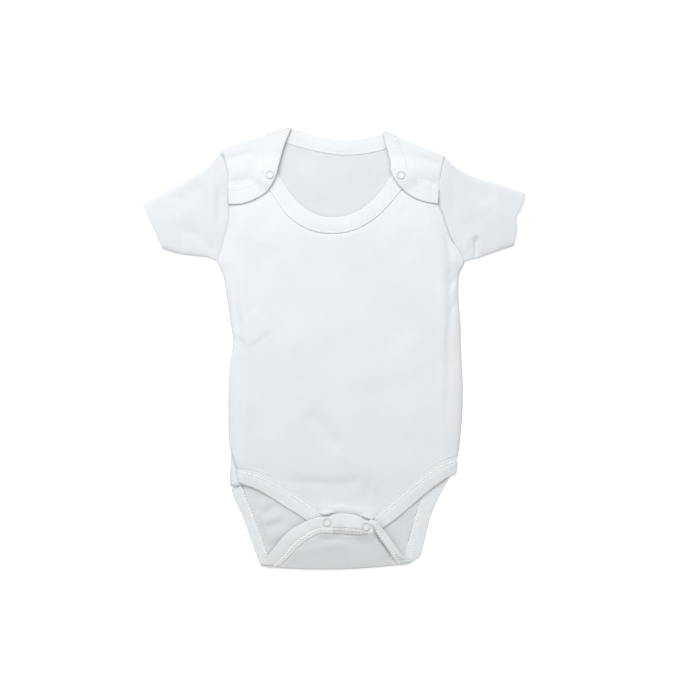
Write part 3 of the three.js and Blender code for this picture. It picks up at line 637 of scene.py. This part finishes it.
def knit(name, colour, shade, wale, course, along_strip, depth):
    """Knitted cotton: stitch columns and rows as bump, short fibres as fine noise and a soft sheen.
    wale and course are the spacing of its stitch columns and rows, in millimetres."""
    material, tree = new_material(name)
    coordinates = add(tree, "ShaderNodeTexCoord")
    place = coordinates.outputs["UV" if along_strip else "Object"]
    columns = add(tree, "ShaderNodeTexWave", {
        "Vector": place, "Scale": BAND / (wale * MM), "Distortion": 0.6, "Detail": 1.0,
        "Detail Scale": 2.0},
        wave_type="BANDS", bands_direction="Y" if along_strip else "X", wave_profile="SIN")
    rows = add(tree, "ShaderNodeTexWave", {
        "Vector": place, "Scale": BAND / (course * MM), "Distortion": 0.9, "Detail": 1.0,
        "Detail Scale": 2.0},
        wave_type="BANDS", bands_direction="X" if along_strip else "Y", wave_profile="SIN")
    loops = add(tree, "ShaderNodeMath", {0: columns.outputs["Fac"], 1: rows.outputs["Fac"]},
                operation="MULTIPLY")
    # Fibres about 0.4 mm across, coarser than real ones, and clouds about 40 mm across
    fibres = add(tree, "ShaderNodeTexNoise", {
        "Vector": coordinates.outputs["Object"], "Scale": 2600.0, "Detail": 3.0})
    cloud = add(tree, "ShaderNodeTexNoise", {
        "Vector": coordinates.outputs["Object"], "Scale": 26.0, "Detail": 2.0})
    relief = add(tree, "ShaderNodeMath", {0: fibres.outputs["Fac"], 1: 0.35, 2: loops.outputs["Value"]},
                 operation="MULTIPLY_ADD")
    bump = add(tree, "ShaderNodeBump", {
        "Height": relief.outputs["Value"], "Strength": 0.55, "Distance": depth * MM})
    tone = add(tree, "ShaderNodeMapRange", {
        "Value": cloud.outputs["Fac"], "From Min": 0.35, "From Max": 0.65})
    mixed = add(tree, "ShaderNodeMix", {"Factor": tone.outputs["Result"]}, data_type="RGBA")
    mixed.inputs[6].default_value = srgb(shade)
    mixed.inputs[7].default_value = srgb(colour)
    surface = add(tree, "ShaderNodeBsdfPrincipled", {
        "Base Color": mixed.outputs[2], "Roughness": 0.92, "Specular IOR Level": 0.2,
        "Sheen Weight": 0.25, "Sheen Roughness": 0.55, "Normal": bump.outputs["Normal"]})
    add(tree, "ShaderNodeOutputMaterial", {"Surface": surface.outputs["BSDF"]})
    return material


def plain(name, colour, roughness, specular, coat=0.0):
    """A smooth finish of one colour."""
    material, tree = new_material(name)
    surface = add(tree, "ShaderNodeBsdfPrincipled", {
        "Base Color": srgb(colour), "Roughness": roughness, "Specular IOR Level": specular,
        "Coat Weight": coat})
    add(tree, "ShaderNodeOutputMaterial", {"Surface": surface.outputs["BSDF"]})
    return material


# Bleached combed-cotton interlock: matt, with stitch columns drawn 1.1 mm apart, coarser than the
# real ones, so that they show as a faint grain close up
front_interlock = knit("bleached_cotton_interlock", "#DADDE0", "#D7DADD", 1.1, 0.8, False, 0.12)
# The same cloth's sleeves, painted a little greyer than the front as shade, since they lie lower
sleeve_interlock_shaded = knit("bleached_cotton_interlock_sleeve_painted_shade", "#D5D8DB", "#D2D5D9", 1.1, 0.8, False, 0.12)
# The same cloth where the back shows, inside the neck and the legs, painted darker as shade, since it lies
# deepest and looks greyest. The flap has it too, as painted shade, since it looks as grey in the photograph
shaded_interlock = knit("cotton_interlock_painted_shade", "#D1D4D6", "#CED1D3", 1.1, 0.8, False, 0.12)
# 1x1 cotton rib, cut across so that its ribs run over the folded edge: it is brighter than the
# panels, being several layers thick. The ribs are drawn 1.4 mm apart, coarser than real ones
cotton_rib = knit("folded_cotton_1x1_rib", "#DCDFE1", "#D9DCDE", 1.4, 0.9, True, 0.2)
# Bright spun polyester sewing thread of the legs: smoother than the cotton, so it catches a little light
spun_thread = plain("spun_polyester_thread", "#F1F2F3", 0.6, 0.4)
# The finer thread of the neck's and the hems' seams, which sinks into the cloth and hardly shines
fine_thread = plain("fine_spun_polyester_thread", "#DFE2E4", 0.7, 0.3)
# Textured looper thread of the cover stitch: matt, and painted a little greyer as shade where its loops shade
# each other
looper_thread = plain("textured_looper_thread", "#CACCCF", 0.8, 0.2)
# White enamel baked on a brass prong ring: smooth, with a small soft highlight
enamelled_brass = plain("baked_enamel_on_brass", "#D3D5D6", 0.32, 0.5, 0.3)
# A back-lit white acrylic table, as used for cut-out photographs: it leaves no shadow round the cloth
acrylic_table, tree = new_material("back_lit_white_acrylic")
add(tree, "ShaderNodeOutputMaterial", {"Surface": add(tree, "ShaderNodeBsdfPrincipled", {
    "Base Color": (0.96, 0.96, 0.96, 1.0), "Roughness": 0.8, "Specular IOR Level": 0.0,
    "Emission Color": (1.0, 1.0, 1.0, 1.0), "Emission Strength": 0.2}).outputs["BSDF"]})


def front_panel():
    """The front: one sheet from side to side, its rims rolled down to the back along the side seams."""
    across, rows_each = 130, 10
    parts = shares(across, 0.2)
    leg = [*seam_edge(LEFT_FRONT_LEG), seam_edge(TAB_END)[1], *seam_edge(RIGHT_FRONT_LEG)[::-1]]
    neck = seam_edge(FRONT_NECK)
    sides = {}
    for side, column, sign, end in (("left", 1, 1, 0), ("right", 2, -1, -1)):
        low, high = leg[end], neck[end]
        # Closer rows above the leg, where the tab's bunched cloth needs them
        points = [(lerp(low[0], SECTIONS[0][column], t) + sign * FRONT_INSET, lerp(low[1], SECTIONS[0][0], t))
                  for t in (0, 0.14, 0.28, 0.46, 0.7)]
        points += [(row[column] + sign * (FRONT_INSET if row[3] else SEAM_GAP), row[0]) for row in SECTIONS]
        sides[side] = refine([*points, high], rows_each)
    bottom = along([sides["left"][0], *leg[1:-1], sides["right"][0]], parts)
    top = along(neck, parts)
    sides["left"][-1], sides["right"][-1] = top[0], top[-1]
    plan = patch(bottom, top, sides["left"], sides["right"], parts)
    points = []
    for row in plan:
        line = []
        for column, (x, y) in enumerate(row):
            from_side = min(distance((x, y), row[0]), distance((x, y), row[-1]))
            from_seam = min(distance((x, y), edge[column]) for edge in (bottom, top))
            rolled = smooth(y, -90, -80) * (1 - smooth(y, 62, 73))
            arc = 1 - min(1.0, from_side / SIDE_ROLL_WIDTH)
            roll = SIDE_ROLL * (1 - math.sqrt(max(0.0, 1 - arc * arc)))
            sunk = lerp(valley(from_side), roll, rolled)
            beside = max(0.0, from_seam - TUCK)
            z = front_height(x, y, True) - sunk - crevice(beside) + pucker(x, y, beside)
            line.append((x, y, z))
        points.append(line)
    piece = make("front_panel_cloth", cloth_bmesh(points), front_interlock,
                 ["front_panel"])
    thicken(piece, DRAWN_CLOTH)


def wrapped_side(x, y, from_edge):
    """Where the back wraps a little way forward beside the front's left corner, above the leg."""
    front_edge = lerp(-88.4, -80.6, smooth(-y, 82, 114))
    bulge = math.sqrt(max(0.0, 1 - (1 - min(1.0, max(0.0, from_edge) / WRAP_ROUNDING)) ** 2))
    return WRAP_HEIGHT * smooth(front_edge - x, -0.4, 0.9) * smooth(-y, 84, 98) * bulge


def back_panel():
    """The back: the crotch flap, the body and both shoulder laps are one cut, bent at three folds."""
    shoulder, neck_count, lap_rows = 30, 40, 36
    parts = shares(2 * shoulder + neck_count)
    fold_left = (CROTCH_CORNER["left"][0] - TUCK, crotch_fold(CROTCH_CORNER["left"][0]))
    fold_right = (CROTCH_CORNER["right"][0] + TUCK, crotch_fold(CROTCH_CORNER["right"][0]))
    crotch_row = [(x, crotch_fold(x)) for x in (lerp(fold_left[0], fold_right[0], u) for u in parts)]

    end_edge = along(seam_edge(FLAP_END), parts)
    flap_left = refine([*seam_edge(LEFT_FLAP_EDGE)[::-1], fold_left], 8)
    flap_right = refine([*seam_edge(RIGHT_FLAP_EDGE)[::-1], fold_right], 8)
    flap_left[0], flap_right[0] = end_edge[0], end_edge[-1]
    flap = []
    plan = patch(end_edge, crotch_row, flap_left, flap_right, parts)
    for i, row in enumerate(plan):
        rough = 1 - smooth(i / (len(plan) - 1), 0.75, 1)
        line = []
        for c, (x, y) in enumerate(row):
            nearest = min(distance((x, y), edge) for edge in (end_edge[c], row[0], row[-1]))
            beside = max(0.0, nearest - TUCK)
            from_roll = max(0.0, distance((x, y), row[-1]) - TUCK)
            trough = TROUGH_DEPTH * math.exp(-((from_roll / TROUGH_WIDTH) ** 2)) * smooth(i, 2, 8)
            z = lerp(flap_height(x, y), flap_height(x, y, True), rough)
            z += (pucker(x, y, beside) - crevice(beside) - trough) * rough
            line.append((x, y, max(FLAP_LOWEST, z)))
        flap.append(line)

    def bend(row, normal, radius=FOLD_RADIUS):
        rows = []
        for step in range(1, BEND_STEPS):
            angle = math.pi * step / BEND_STEPS
            out = radius * math.sin(angle)
            z = BACK_HEIGHT + radius * (1 - math.cos(angle))
            rows.append([(x + normal.x * out, y + normal.y * out, z) for x, y in row])
        return rows

    left_neck = on_shoulder("left", NECK_CORNER["left"][0] + TUCK)
    right_neck = on_shoulder("right", NECK_CORNER["right"][0] - TUCK)

    def tip(side, sign):
        return on_shoulder(side, SHOULDER_FOLD[side][0][0] + sign * SEAM_GAP)

    def straight(a, b):
        return [mix(a, b, i / shoulder) for i in range(shoulder + 1)]

    neck_row = along([left_neck, *seam_edge(BACK_NECK), right_neck], shares(neck_count, 0.4))
    top_row = [*straight(tip("left", 1), left_neck), *neck_row[1:-1],
               *straight(right_neck, tip("right", -1))]

    def upper_side(column, side, sign):
        rows = [(row[column] + sign * (SIDE_INSET if row[3] else SEAM_GAP), row[0]) for row in SECTIONS]
        rows += [(row[column] + sign * SEAM_GAP, row[0]) for row in ARMHOLE_TOP]
        return [*rows, tip(side, sign)]

    def leg_edge(rows):
        return seam_edge(rows)[:0:-1]

    left = [fold_left, *leg_edge(LEFT_BACK_LEG), *LEG_START["left"], *upper_side(1, "left", 1)]
    right = [fold_right, *leg_edge(RIGHT_BACK_LEG), *LEG_START["right"], *upper_side(2, "right", -1)]
    body = patch(crotch_row, top_row, refine(left, 6), refine(right, 6), parts)
    edge_rows = []
    for row in body:
        line = []
        for x, y in row:
            from_side = min(distance((x, y), row[0]), distance((x, y), row[-1]))
            level = smooth(from_side, 0, 9) * smooth(y, -183, -172) * (1 - smooth(y, 150, 165))
            z = lerp(BACK_HEIGHT, back_height(x, y), level)
            line.append((x, y, z + wrapped_side(x, y, x - row[0][0])))
        edge_rows.append(line)

    def lap(side, edge, sign):
        fold = top_row[:shoulder + 1] if side == "left" else top_row[-shoulder - 1:]
        edge_points = seam_edge(edge)
        column = 1 if side == "left" else 2
        hem = edge_points[:4] if side == "left" else edge_points[-4:]
        neck_side = edge_points[3:] if side == "left" else edge_points[:-3][::-1]
        armhole = [tip(side, sign), *[(row[column] + sign * SEAM_GAP, row[0]) for row in ARMHOLE_TOP[::-1]],
                   hem[0] if side == "left" else hem[-1]]
        inner = [fold[-1] if side == "left" else fold[0], *neck_side[::-1]]
        steps = shares(lap_rows)
        arm_edge, neck_edge = along(armhole, steps), along(inner, steps)
        ends = (arm_edge[-1], neck_edge[-1]) if side == "left" else (neck_edge[-1], arm_edge[-1])
        across = shares(shoulder)
        low = along([ends[0], *hem[1:-1], ends[1]], across)
        edges = (arm_edge, neck_edge) if side == "left" else (neck_edge, arm_edge)
        rows = []
        for i, row in enumerate(patch(fold, low, *edges, across)):
            level = 1 - smooth(i / lap_rows, 0, 0.25)
            line = []
            for c, (x, y) in enumerate(row):
                arm_point = row[0] if side == "left" else row[-1]
                sunk = valley(distance((x, y), arm_point)) * (1 - level)
                from_hem = max(0.0, distance((x, y), low[c]) - TUCK)
                z = lerp(upper_height(x, y, True), BACK_HEIGHT + 2 * FOLD_RADIUS, level)
                line.append((x, y, z - sunk + pucker(x, y, from_hem) * (1 - level)))
            rows.append(line)
        return [*bend(fold, fold_normal(side)), *rows]

    left_lap, right_lap = lap("left", LEFT_LAP_EDGE, 1), lap("right", RIGHT_LAP_EDGE, -1)
    blank = [(0.0, 0.0, 0.0)] * (neck_count - 1)
    laps = [[*a, *blank, *b] for a, b in zip(left_lap, right_lap)]
    points = [*flap, *bend(crotch_row, Vector((0, -1, 0)), CROTCH_RADIUS)[::-1], *edge_rows, *laps]
    lap_start = len(points) - len(laps) - 1

    def keep(row, column):
        return row < lap_start or column < shoulder or column >= shoulder + neck_count

    def paint(row, column):
        """1, the front's cloth, for the laps and for the left side's strip that wraps forward; 0, a darker
        copy of the same cloth as painted shade, for the flap and the back's inside
        """
        wrapped = column < 5 and len(flap) < row < lap_start and points[row][column][1] > -116
        return 1 if row >= lap_start or wrapped else 0

    bm = cloth_bmesh(points, keep, paint=paint)
    bmesh.ops.delete(bm, geom=[v for v in bm.verts if not v.link_faces], context="VERTS")
    # The flap and the back's inside, seen in the neck and the legs, take the darker copy of the cloth:
    # painted shade
    piece = make("back_panel_cloth", bm, shaded_interlock, ["back_panel"])
    piece.data.materials.append(front_interlock)
    thicken(piece, DRAWN_CLOTH)


def sleeve(side, rows, sign):
    """A sleeve: a flattened tube from the armhole to the cuff, where its hem turns inside. It gives
    back the row of points where the hem is sewn."""
    across, steps, curl = 50, 56, 5
    parts = shares(across, 0.65)
    column = 1 if side == "left" else 2
    under = along(panel_edge(rows), shares(steps, 0.3))
    top = along(free_edge(rows), shares(steps, 0.3))
    armhole = [under[0], *[(row[column], row[0]) for row in SECTIONS if row[0] > 78],
               *[(row[column], row[0]) for row in ARMHOLE_TOP], top[0]]
    armhole_row = along([(x + sign * ARMHOLE_TUCK, y) for x, y in armhole], shares(across))
    under[0], top[0] = armhole_row[0], armhole_row[-1]
    cuff = mix(under[-1], top[-1], 0.5)

    def ring(row, drop=0.0, back=0.0):
        """The closed row of points round the sleeve; drop moves it inside and back moves it along."""
        (ux, uy), (tx, ty) = under[row], top[row]
        width = math.hypot(tx - ux, ty - uy)
        line = Vector((tx - ux, ty - uy, 0)) / width
        outward = Vector((line.y, -line.x, 0)) * (-sign)
        from_cuff = distance(((ux + tx) / 2, (uy + ty) / 2), cuff)
        hem_share = 1 - smooth(from_cuff, HEM_DEPTH - 2.0, HEM_DEPTH)
        groove = 0.3 * math.exp(-(((from_cuff - HEM_DEPTH + 1.2) / 0.8) ** 2))
        at_armhole = 1 - row / steps

        def spacing(u):
            seam = lerp(FRONT_BASE - BACK_HEIGHT, 2 * FOLD_RADIUS, smooth(u, 0.55, 0.8))
            edge = min(u, 1 - u) * width
            loose = 1.5 + 0.5 * hem_share + 0.8 * (1 - math.exp(-edge / 1.5)) + 0.5 * math.sin(math.pi * u)
            return lerp(loose, seam, smooth(at_armhole, 0.6, 1))

        def plan(u):
            inset = (spacing(u) + CLOTH) / 2 / width
            share = lerp(inset, 1 - inset * (1 - smooth(at_armhole, 0.55, 1)), u)
            straight = (lerp(ux, tx, share), lerp(uy, ty, share))
            cell = min(across - 1, int(share * across))
            bulges = [armhole_row[i][0] - lerp(armhole_row[0][0], armhole_row[-1][0], i / across)
                      for i in (cell, cell + 1)]
            shift = lerp(bulges[0], bulges[1], share * across - cell) * at_armhole ** 2
            dip = back + CUFF_DIP[side] * math.exp(-(((u - 0.54) / 0.16) ** 2)) * smooth(at_armhole, 0.35, 0)
            return straight[0] + shift - outward.x * dip, straight[1] - outward.y * dip

        def layer(u, upper):
            x, y = plan(u)
            if upper:
                from_seam = abs(x - armhole_row[min(across, int(u * across))][0])
                sunk = valley(from_seam) if row < steps / 3 else 0.0
                crown = math.sin(math.pi * u)
                relief = (crease_height(x, y, SLEEVE_CREASES) + undulation(x, y, 17, 0.3)) * crown ** 0.4
                relief *= smooth(row, 0, 6) * lerp(1.0, 0.6, hem_share)
                puff = 0.25 * hem_share - groove + pucker(x, y, abs(from_cuff - HEM_DEPTH), 0.25)
                z = CLOTH / 2 + spacing(u) - sunk - drop + relief + puff * crown ** 0.3
                return Vector((x, y, z))
            return Vector((x, y, CLOTH / 2 + drop))

        def fold(u, way, turn):
            x, y = plan(u)
            radius = spacing(u) / 2 - drop
            angle = math.pi * turn
            reach = line * (way * radius * math.sin(angle))
            return Vector((x + reach.x, y + reach.y, CLOTH / 2 + spacing(u) / 2 + radius * math.cos(angle)))

        turns = [i / curl for i in range(1, curl)]
        points = [layer(u, True) for u in parts]
        points += [fold(1, 1, t) for t in turns]
        points += [layer(u, False) for u in reversed(parts)]
        points += [fold(0, -1, 1 - t) for t in turns]
        return [*points, points[0]]

    rings = [ring(row) for row in range(steps + 1)]
    rings += [ring(steps, drop, back) for drop, back in HEM_TURN]
    inner = [row for row in range(steps - 1, 0, -1)
             if distance(mix(under[row], top[row], 0.5), cuff) < HEM_DEPTH - 1]
    rings += [ring(row, HEM_INSIDE) for row in inner]
    bm = cloth_bmesh(rings)
    bmesh.ops.remove_doubles(bm, verts=bm.verts, dist=1e-6)
    # The sleeves take the greyer copy of the cloth, as painted shade
    piece = make(f"sleeve_{side}_cloth", bm, sleeve_interlock_shaded, [f"sleeve_{side}"])
    thicken(piece, SLEEVE_CLOTH)
    around = sum(lengths_of(r)[-1] for r in rings) / len(rings)
    length = lengths_of([r[across // 2] for r in rings])[-1]
    return rings[inner[-1] - 2][:across + 1]


def ends_of(side):
    """The back neck binding's points on a shoulder's bend."""
    panel, free = NECK_CORNER[side]
    return (*on_shoulder(side, panel), *on_shoulder(side, free))


def on_back(_x, _y):
    return BACK_HEIGHT


def back_neck_binding():
    """Left lap, over the shoulder, along the back neck, over the other shoulder, right lap."""
    def over(side):
        panel, free = NECK_CORNER[side]
        return around_fold(on_shoulder(side, panel), on_shoulder(side, free), fold_normal(side))

    sections = [
        *strip([*LEFT_LAP_EDGE, ends_of("left")], 9, upper_height), *over("left")[::-1],
        *strip([ends_of("left"), *BACK_NECK, ends_of("right")], 9, on_back), *over("right"),
        *strip([ends_of("right"), *RIGHT_LAP_EDGE], 9, upper_height),
    ]
    return binding("back_neck_rib", sections, ["back_neck_binding"])[1]


def back_leg_binding(side, back_rows, flap_rows, nodes, rolls=False):
    """Down the back leg edge, round the crotch fold and up the edge of the flap."""
    panel, free = CROTCH_CORNER[side]
    corner = (panel, crotch_fold(panel), free, crotch_fold(free))
    back = strip([*back_rows, corner], 9, on_back)
    bent = around_fold(corner[:2], corner[2:], Vector((0, -1, 0)), CROTCH_RADIUS, rounding=1.6)
    flap = strip([corner, *flap_rows], 9, flap_height)
    if rolls:
        last = 9
        for i, section in enumerate(flap[-last:]):
            sink = UP * (ROLL_SINK * smooth(i, 0, last - 1))
            flap[i - last] = [(point - sink, up) for point, up in section]
    start = len(back) + len(bent)

    def rolled(i):
        return smooth(i, start + 2, start + 14) if rolls else 0.0

    def flush(i):
        return 1 - smooth(i, len(back) - 10, len(back))

    return binding(f"back_leg_rib_{side}", [*back, *bent, *flap], nodes, rolled, flush)[1]


def ring_snap(name, x, y):
    """The visible ring of a closed ring snap, pressed a little into the rib."""
    bm = bmesh.new()
    verts = [bm.verts.new((radius * MM, 0, height * MM)) for radius, height in RING_PROFILE]
    edges = [bm.edges.new(pair) for pair in zip(verts, verts[1:] + verts[:1])]
    bmesh.ops.spin(bm, geom=[*verts, *edges], cent=(0, 0, 0), axis=(0, 0, 1), dvec=(0, 0, 0),
                   angle=2 * math.pi, steps=40, use_merge=True, use_normal_flip=False, use_duplicate=False)
    bmesh.ops.remove_doubles(bm, verts=bm.verts, dist=1e-6)
    bmesh.ops.recalc_face_normals(bm, faces=bm.faces)
    height = flap_height if "crotch" in name else upper_height
    z = height(x, y) + (RIB - CLOTH) / 2 + RIB / 2 + 0.12
    bmesh.ops.translate(bm, verts=bm.verts, vec=Vector((x, y, z)) * MM)
    make(f"{name}_enamel_ring", bm, enamelled_brass, [f"{name}_ring"])


class Stitches:
    """Sewing threads of one seam group, each stitch a small rounded form half sunk into the cloth."""

    def __init__(self, radius):
        self.bm = bmesh.new()
        self.radius = radius

    def one(self, a, b):
        middle, way = (a + b) / 2, b - a
        turn = Vector((1, 0, 0)).rotation_difference(way).to_matrix().to_4x4()
        size = Matrix.Diagonal((way.length / 2, self.radius, self.radius * 0.8, 1))
        bmesh.ops.create_uvsphere(self.bm, u_segments=6, v_segments=5, radius=MM,
                                  matrix=Matrix.Translation(middle * MM) @ turn @ size)

    def path(self, tops, share, side_step=0.0, length=2.4, gap=0.5, lift=0.05):
        """Stitches along the rows of points, at a share across them; side_step makes a zigzag."""
        line = []
        for row in tops:
            i = min(len(row) - 2, max(0, bisect.bisect_right(ACROSS, share) - 1))
            t = (share - ACROSS[i]) / (ACROSS[i + 1] - ACROSS[i])
            line.append((row[i].lerp(row[i + 1], t), (row[-1] - row[0]).normalized()))
        self.follow(line, side_step, length, gap, lift)

    def follow(self, line, side_step, length, gap, lift):
        place = lengths_of([point for point, _ in line])
        count = int(place[-1] / (length + gap))
        spots = []
        for k in range(count + 1):
            want = place[-1] * k / max(1, count)
            i = min(len(line) - 2, max(0, bisect.bisect_right(place, want) - 1))
            t = (want - place[i]) / max(1e-9, place[i + 1] - place[i])
            point = line[i][0].lerp(line[i + 1][0], t)
            side = line[i][1] * (side_step * (1 if k % 2 else -1))
            spots.append(point + side + UP * lift)
        for a, b in zip(spots, spots[1:]):
            trim = (b - a) * (gap / 2 / max(1e-6, (b - a).length))
            self.one(a + trim, b - trim)

    def finish(self, name, material):
        return make(name, self.bm, material)


front_panel()
back_panel()
hems = [sleeve("left", LEFT_SLEEVE, 1), sleeve("right", RIGHT_SLEEVE, -1)]
_, front_neck_tops = binding("front_neck_rib", strip(FRONT_NECK, 11, front_height), ["front_neck_binding"])
back_neck_tops = back_neck_binding()
# One strip of rib goes down one leg, along the tab's end and up the other leg
_, front_leg_tops = binding(
    "front_leg_rib", strip([*LEFT_FRONT_LEG, TAB_END[1], *RIGHT_FRONT_LEG[::-1]], 10, front_height),
    ["front_leg_binding_left", "tab_end_binding", "front_leg_binding_right"])
# The left strip goes on along the flap's end, as no joint shows there
left_back_tops = back_leg_binding("left", LEFT_BACK_LEG, [*LEFT_FLAP_EDGE, *FLAP_END[1:]],
                                  ["back_leg_binding_left", "flap_end_binding"])
right_back_tops = back_leg_binding("right", RIGHT_BACK_LEG, [*RIGHT_FLAP_EDGE, *ROLL_END],
                                   ["back_leg_binding_right"], rolls=True)
for snap_name, (snap_x, snap_y) in SNAPS.items():
    ring_snap(snap_name, snap_x, snap_y)
    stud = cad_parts[f"{snap_name}_stud"]
    stud.data.materials.clear()
    stud.data.materials.append(enamelled_brass)

# Threads, drawn thicker than real ones so that they show at this distance
neck_thread = Stitches(0.3)
neck_thread.path(front_neck_tops, STITCH_SHARE)
neck_thread.path(back_neck_tops, STITCH_SHARE)
neck_thread.finish("stitches_neck", fine_thread)
hem_thread = Stitches(0.3)
for hem in hems:
    straight_line = [(point, Vector((1, 0, 0))) for point in hem[4:-4]]
    hem_thread.follow(straight_line, side_step=0.0, length=2.4, gap=0.5, lift=0.22)
hem_thread.finish("stitches_sleeves", fine_thread)
# The leg bindings' zigzag. The right back one is hidden under the front's at its start and rolled
# under at its end
leg_thread = Stitches(0.46)
for tops in (front_leg_tops, left_back_tops, right_back_tops[14:-20]):
    leg_thread.path(tops, STITCH_SHARE, side_step=1.6, length=1.25, gap=0.2, lift=0.26)
leg_thread.finish("stitches_legs", spun_thread)
# The cover stitch's crossing loops fill a strip along the flap's end between its snaps
loops = Stitches(0.42)
flap_end_rows = [row for row in left_back_tops[-46:] if -1.5 < row[0].x < 29]
for share in (0.07, 0.14, 0.21, 0.28, 0.35):
    loops.path(flap_end_rows, share, side_step=0.5, length=1.5, gap=0.15, lift=0.16)
loops.finish("stitches_flap_end", looper_thread)

# Table, light and camera
bm = bmesh.new()
bmesh.ops.create_grid(bm, x_segments=1, y_segments=1, size=3.0)
mesh = bpy.data.meshes.new("floor")
bm.to_mesh(mesh)
bm.free()
mesh.materials.append(acrylic_table)
floor = bpy.data.objects.new("floor", mesh)
bpy.context.scene.collection.objects.link(floor)

world = bpy.data.worlds.new("white_studio")
bpy.context.scene.world = world
world.use_nodes = True
# A white overhead tent, darker towards the table and on the crotch's side: that draws the edges and folds
sky = world.node_tree
sky.nodes.clear()
direction = add(sky, "ShaderNodeTexCoord")
split = add(sky, "ShaderNodeSeparateXYZ", {"Vector": direction.outputs["Generated"]})
rise = add(sky, "ShaderNodeMapRange", {"Value": split.outputs["Z"], "From Min": 0.15, "From Max": 0.85,
                                       "To Min": 0.12, "To Max": 1.06})
side = add(sky, "ShaderNodeMapRange", {"Value": split.outputs["Y"], "From Min": -0.8, "From Max": 0.8,
                                       "To Min": 0.7, "To Max": 1.3})
level = add(sky, "ShaderNodeMath", {0: rise.outputs["Result"], 1: side.outputs["Result"]},
            operation="MULTIPLY")
tent = add(sky, "ShaderNodeBackground", {"Color": (1.0, 1.0, 1.0, 1.0), "Strength": level.outputs["Value"]})
add(sky, "ShaderNodeOutputWorld", {"Surface": tent.outputs["Background"]})

light = bpy.data.lights.new("softbox", "AREA")
light.shape = "RECTANGLE"
light.size, light.size_y = 0.8, 0.6
light.energy = 5.7
softbox = bpy.data.objects.new("softbox", light)
softbox.location = (-0.22, 0.6, 0.72)
softbox.rotation_euler = (-softbox.location).to_track_quat("-Z", "Y").to_euler()
bpy.context.scene.collection.objects.link(softbox)

camera_data = bpy.data.cameras.new("camera")
camera_data.lens = 85
camera_data.sensor_width = 36
camera = bpy.data.objects.new("camera", camera_data)
camera.location = (0.0136, -0.001275, 1.405)
bpy.context.scene.collection.objects.link(camera)
bpy.context.scene.camera = camera
bpy.context.scene.view_settings.view_transform = "Standard"
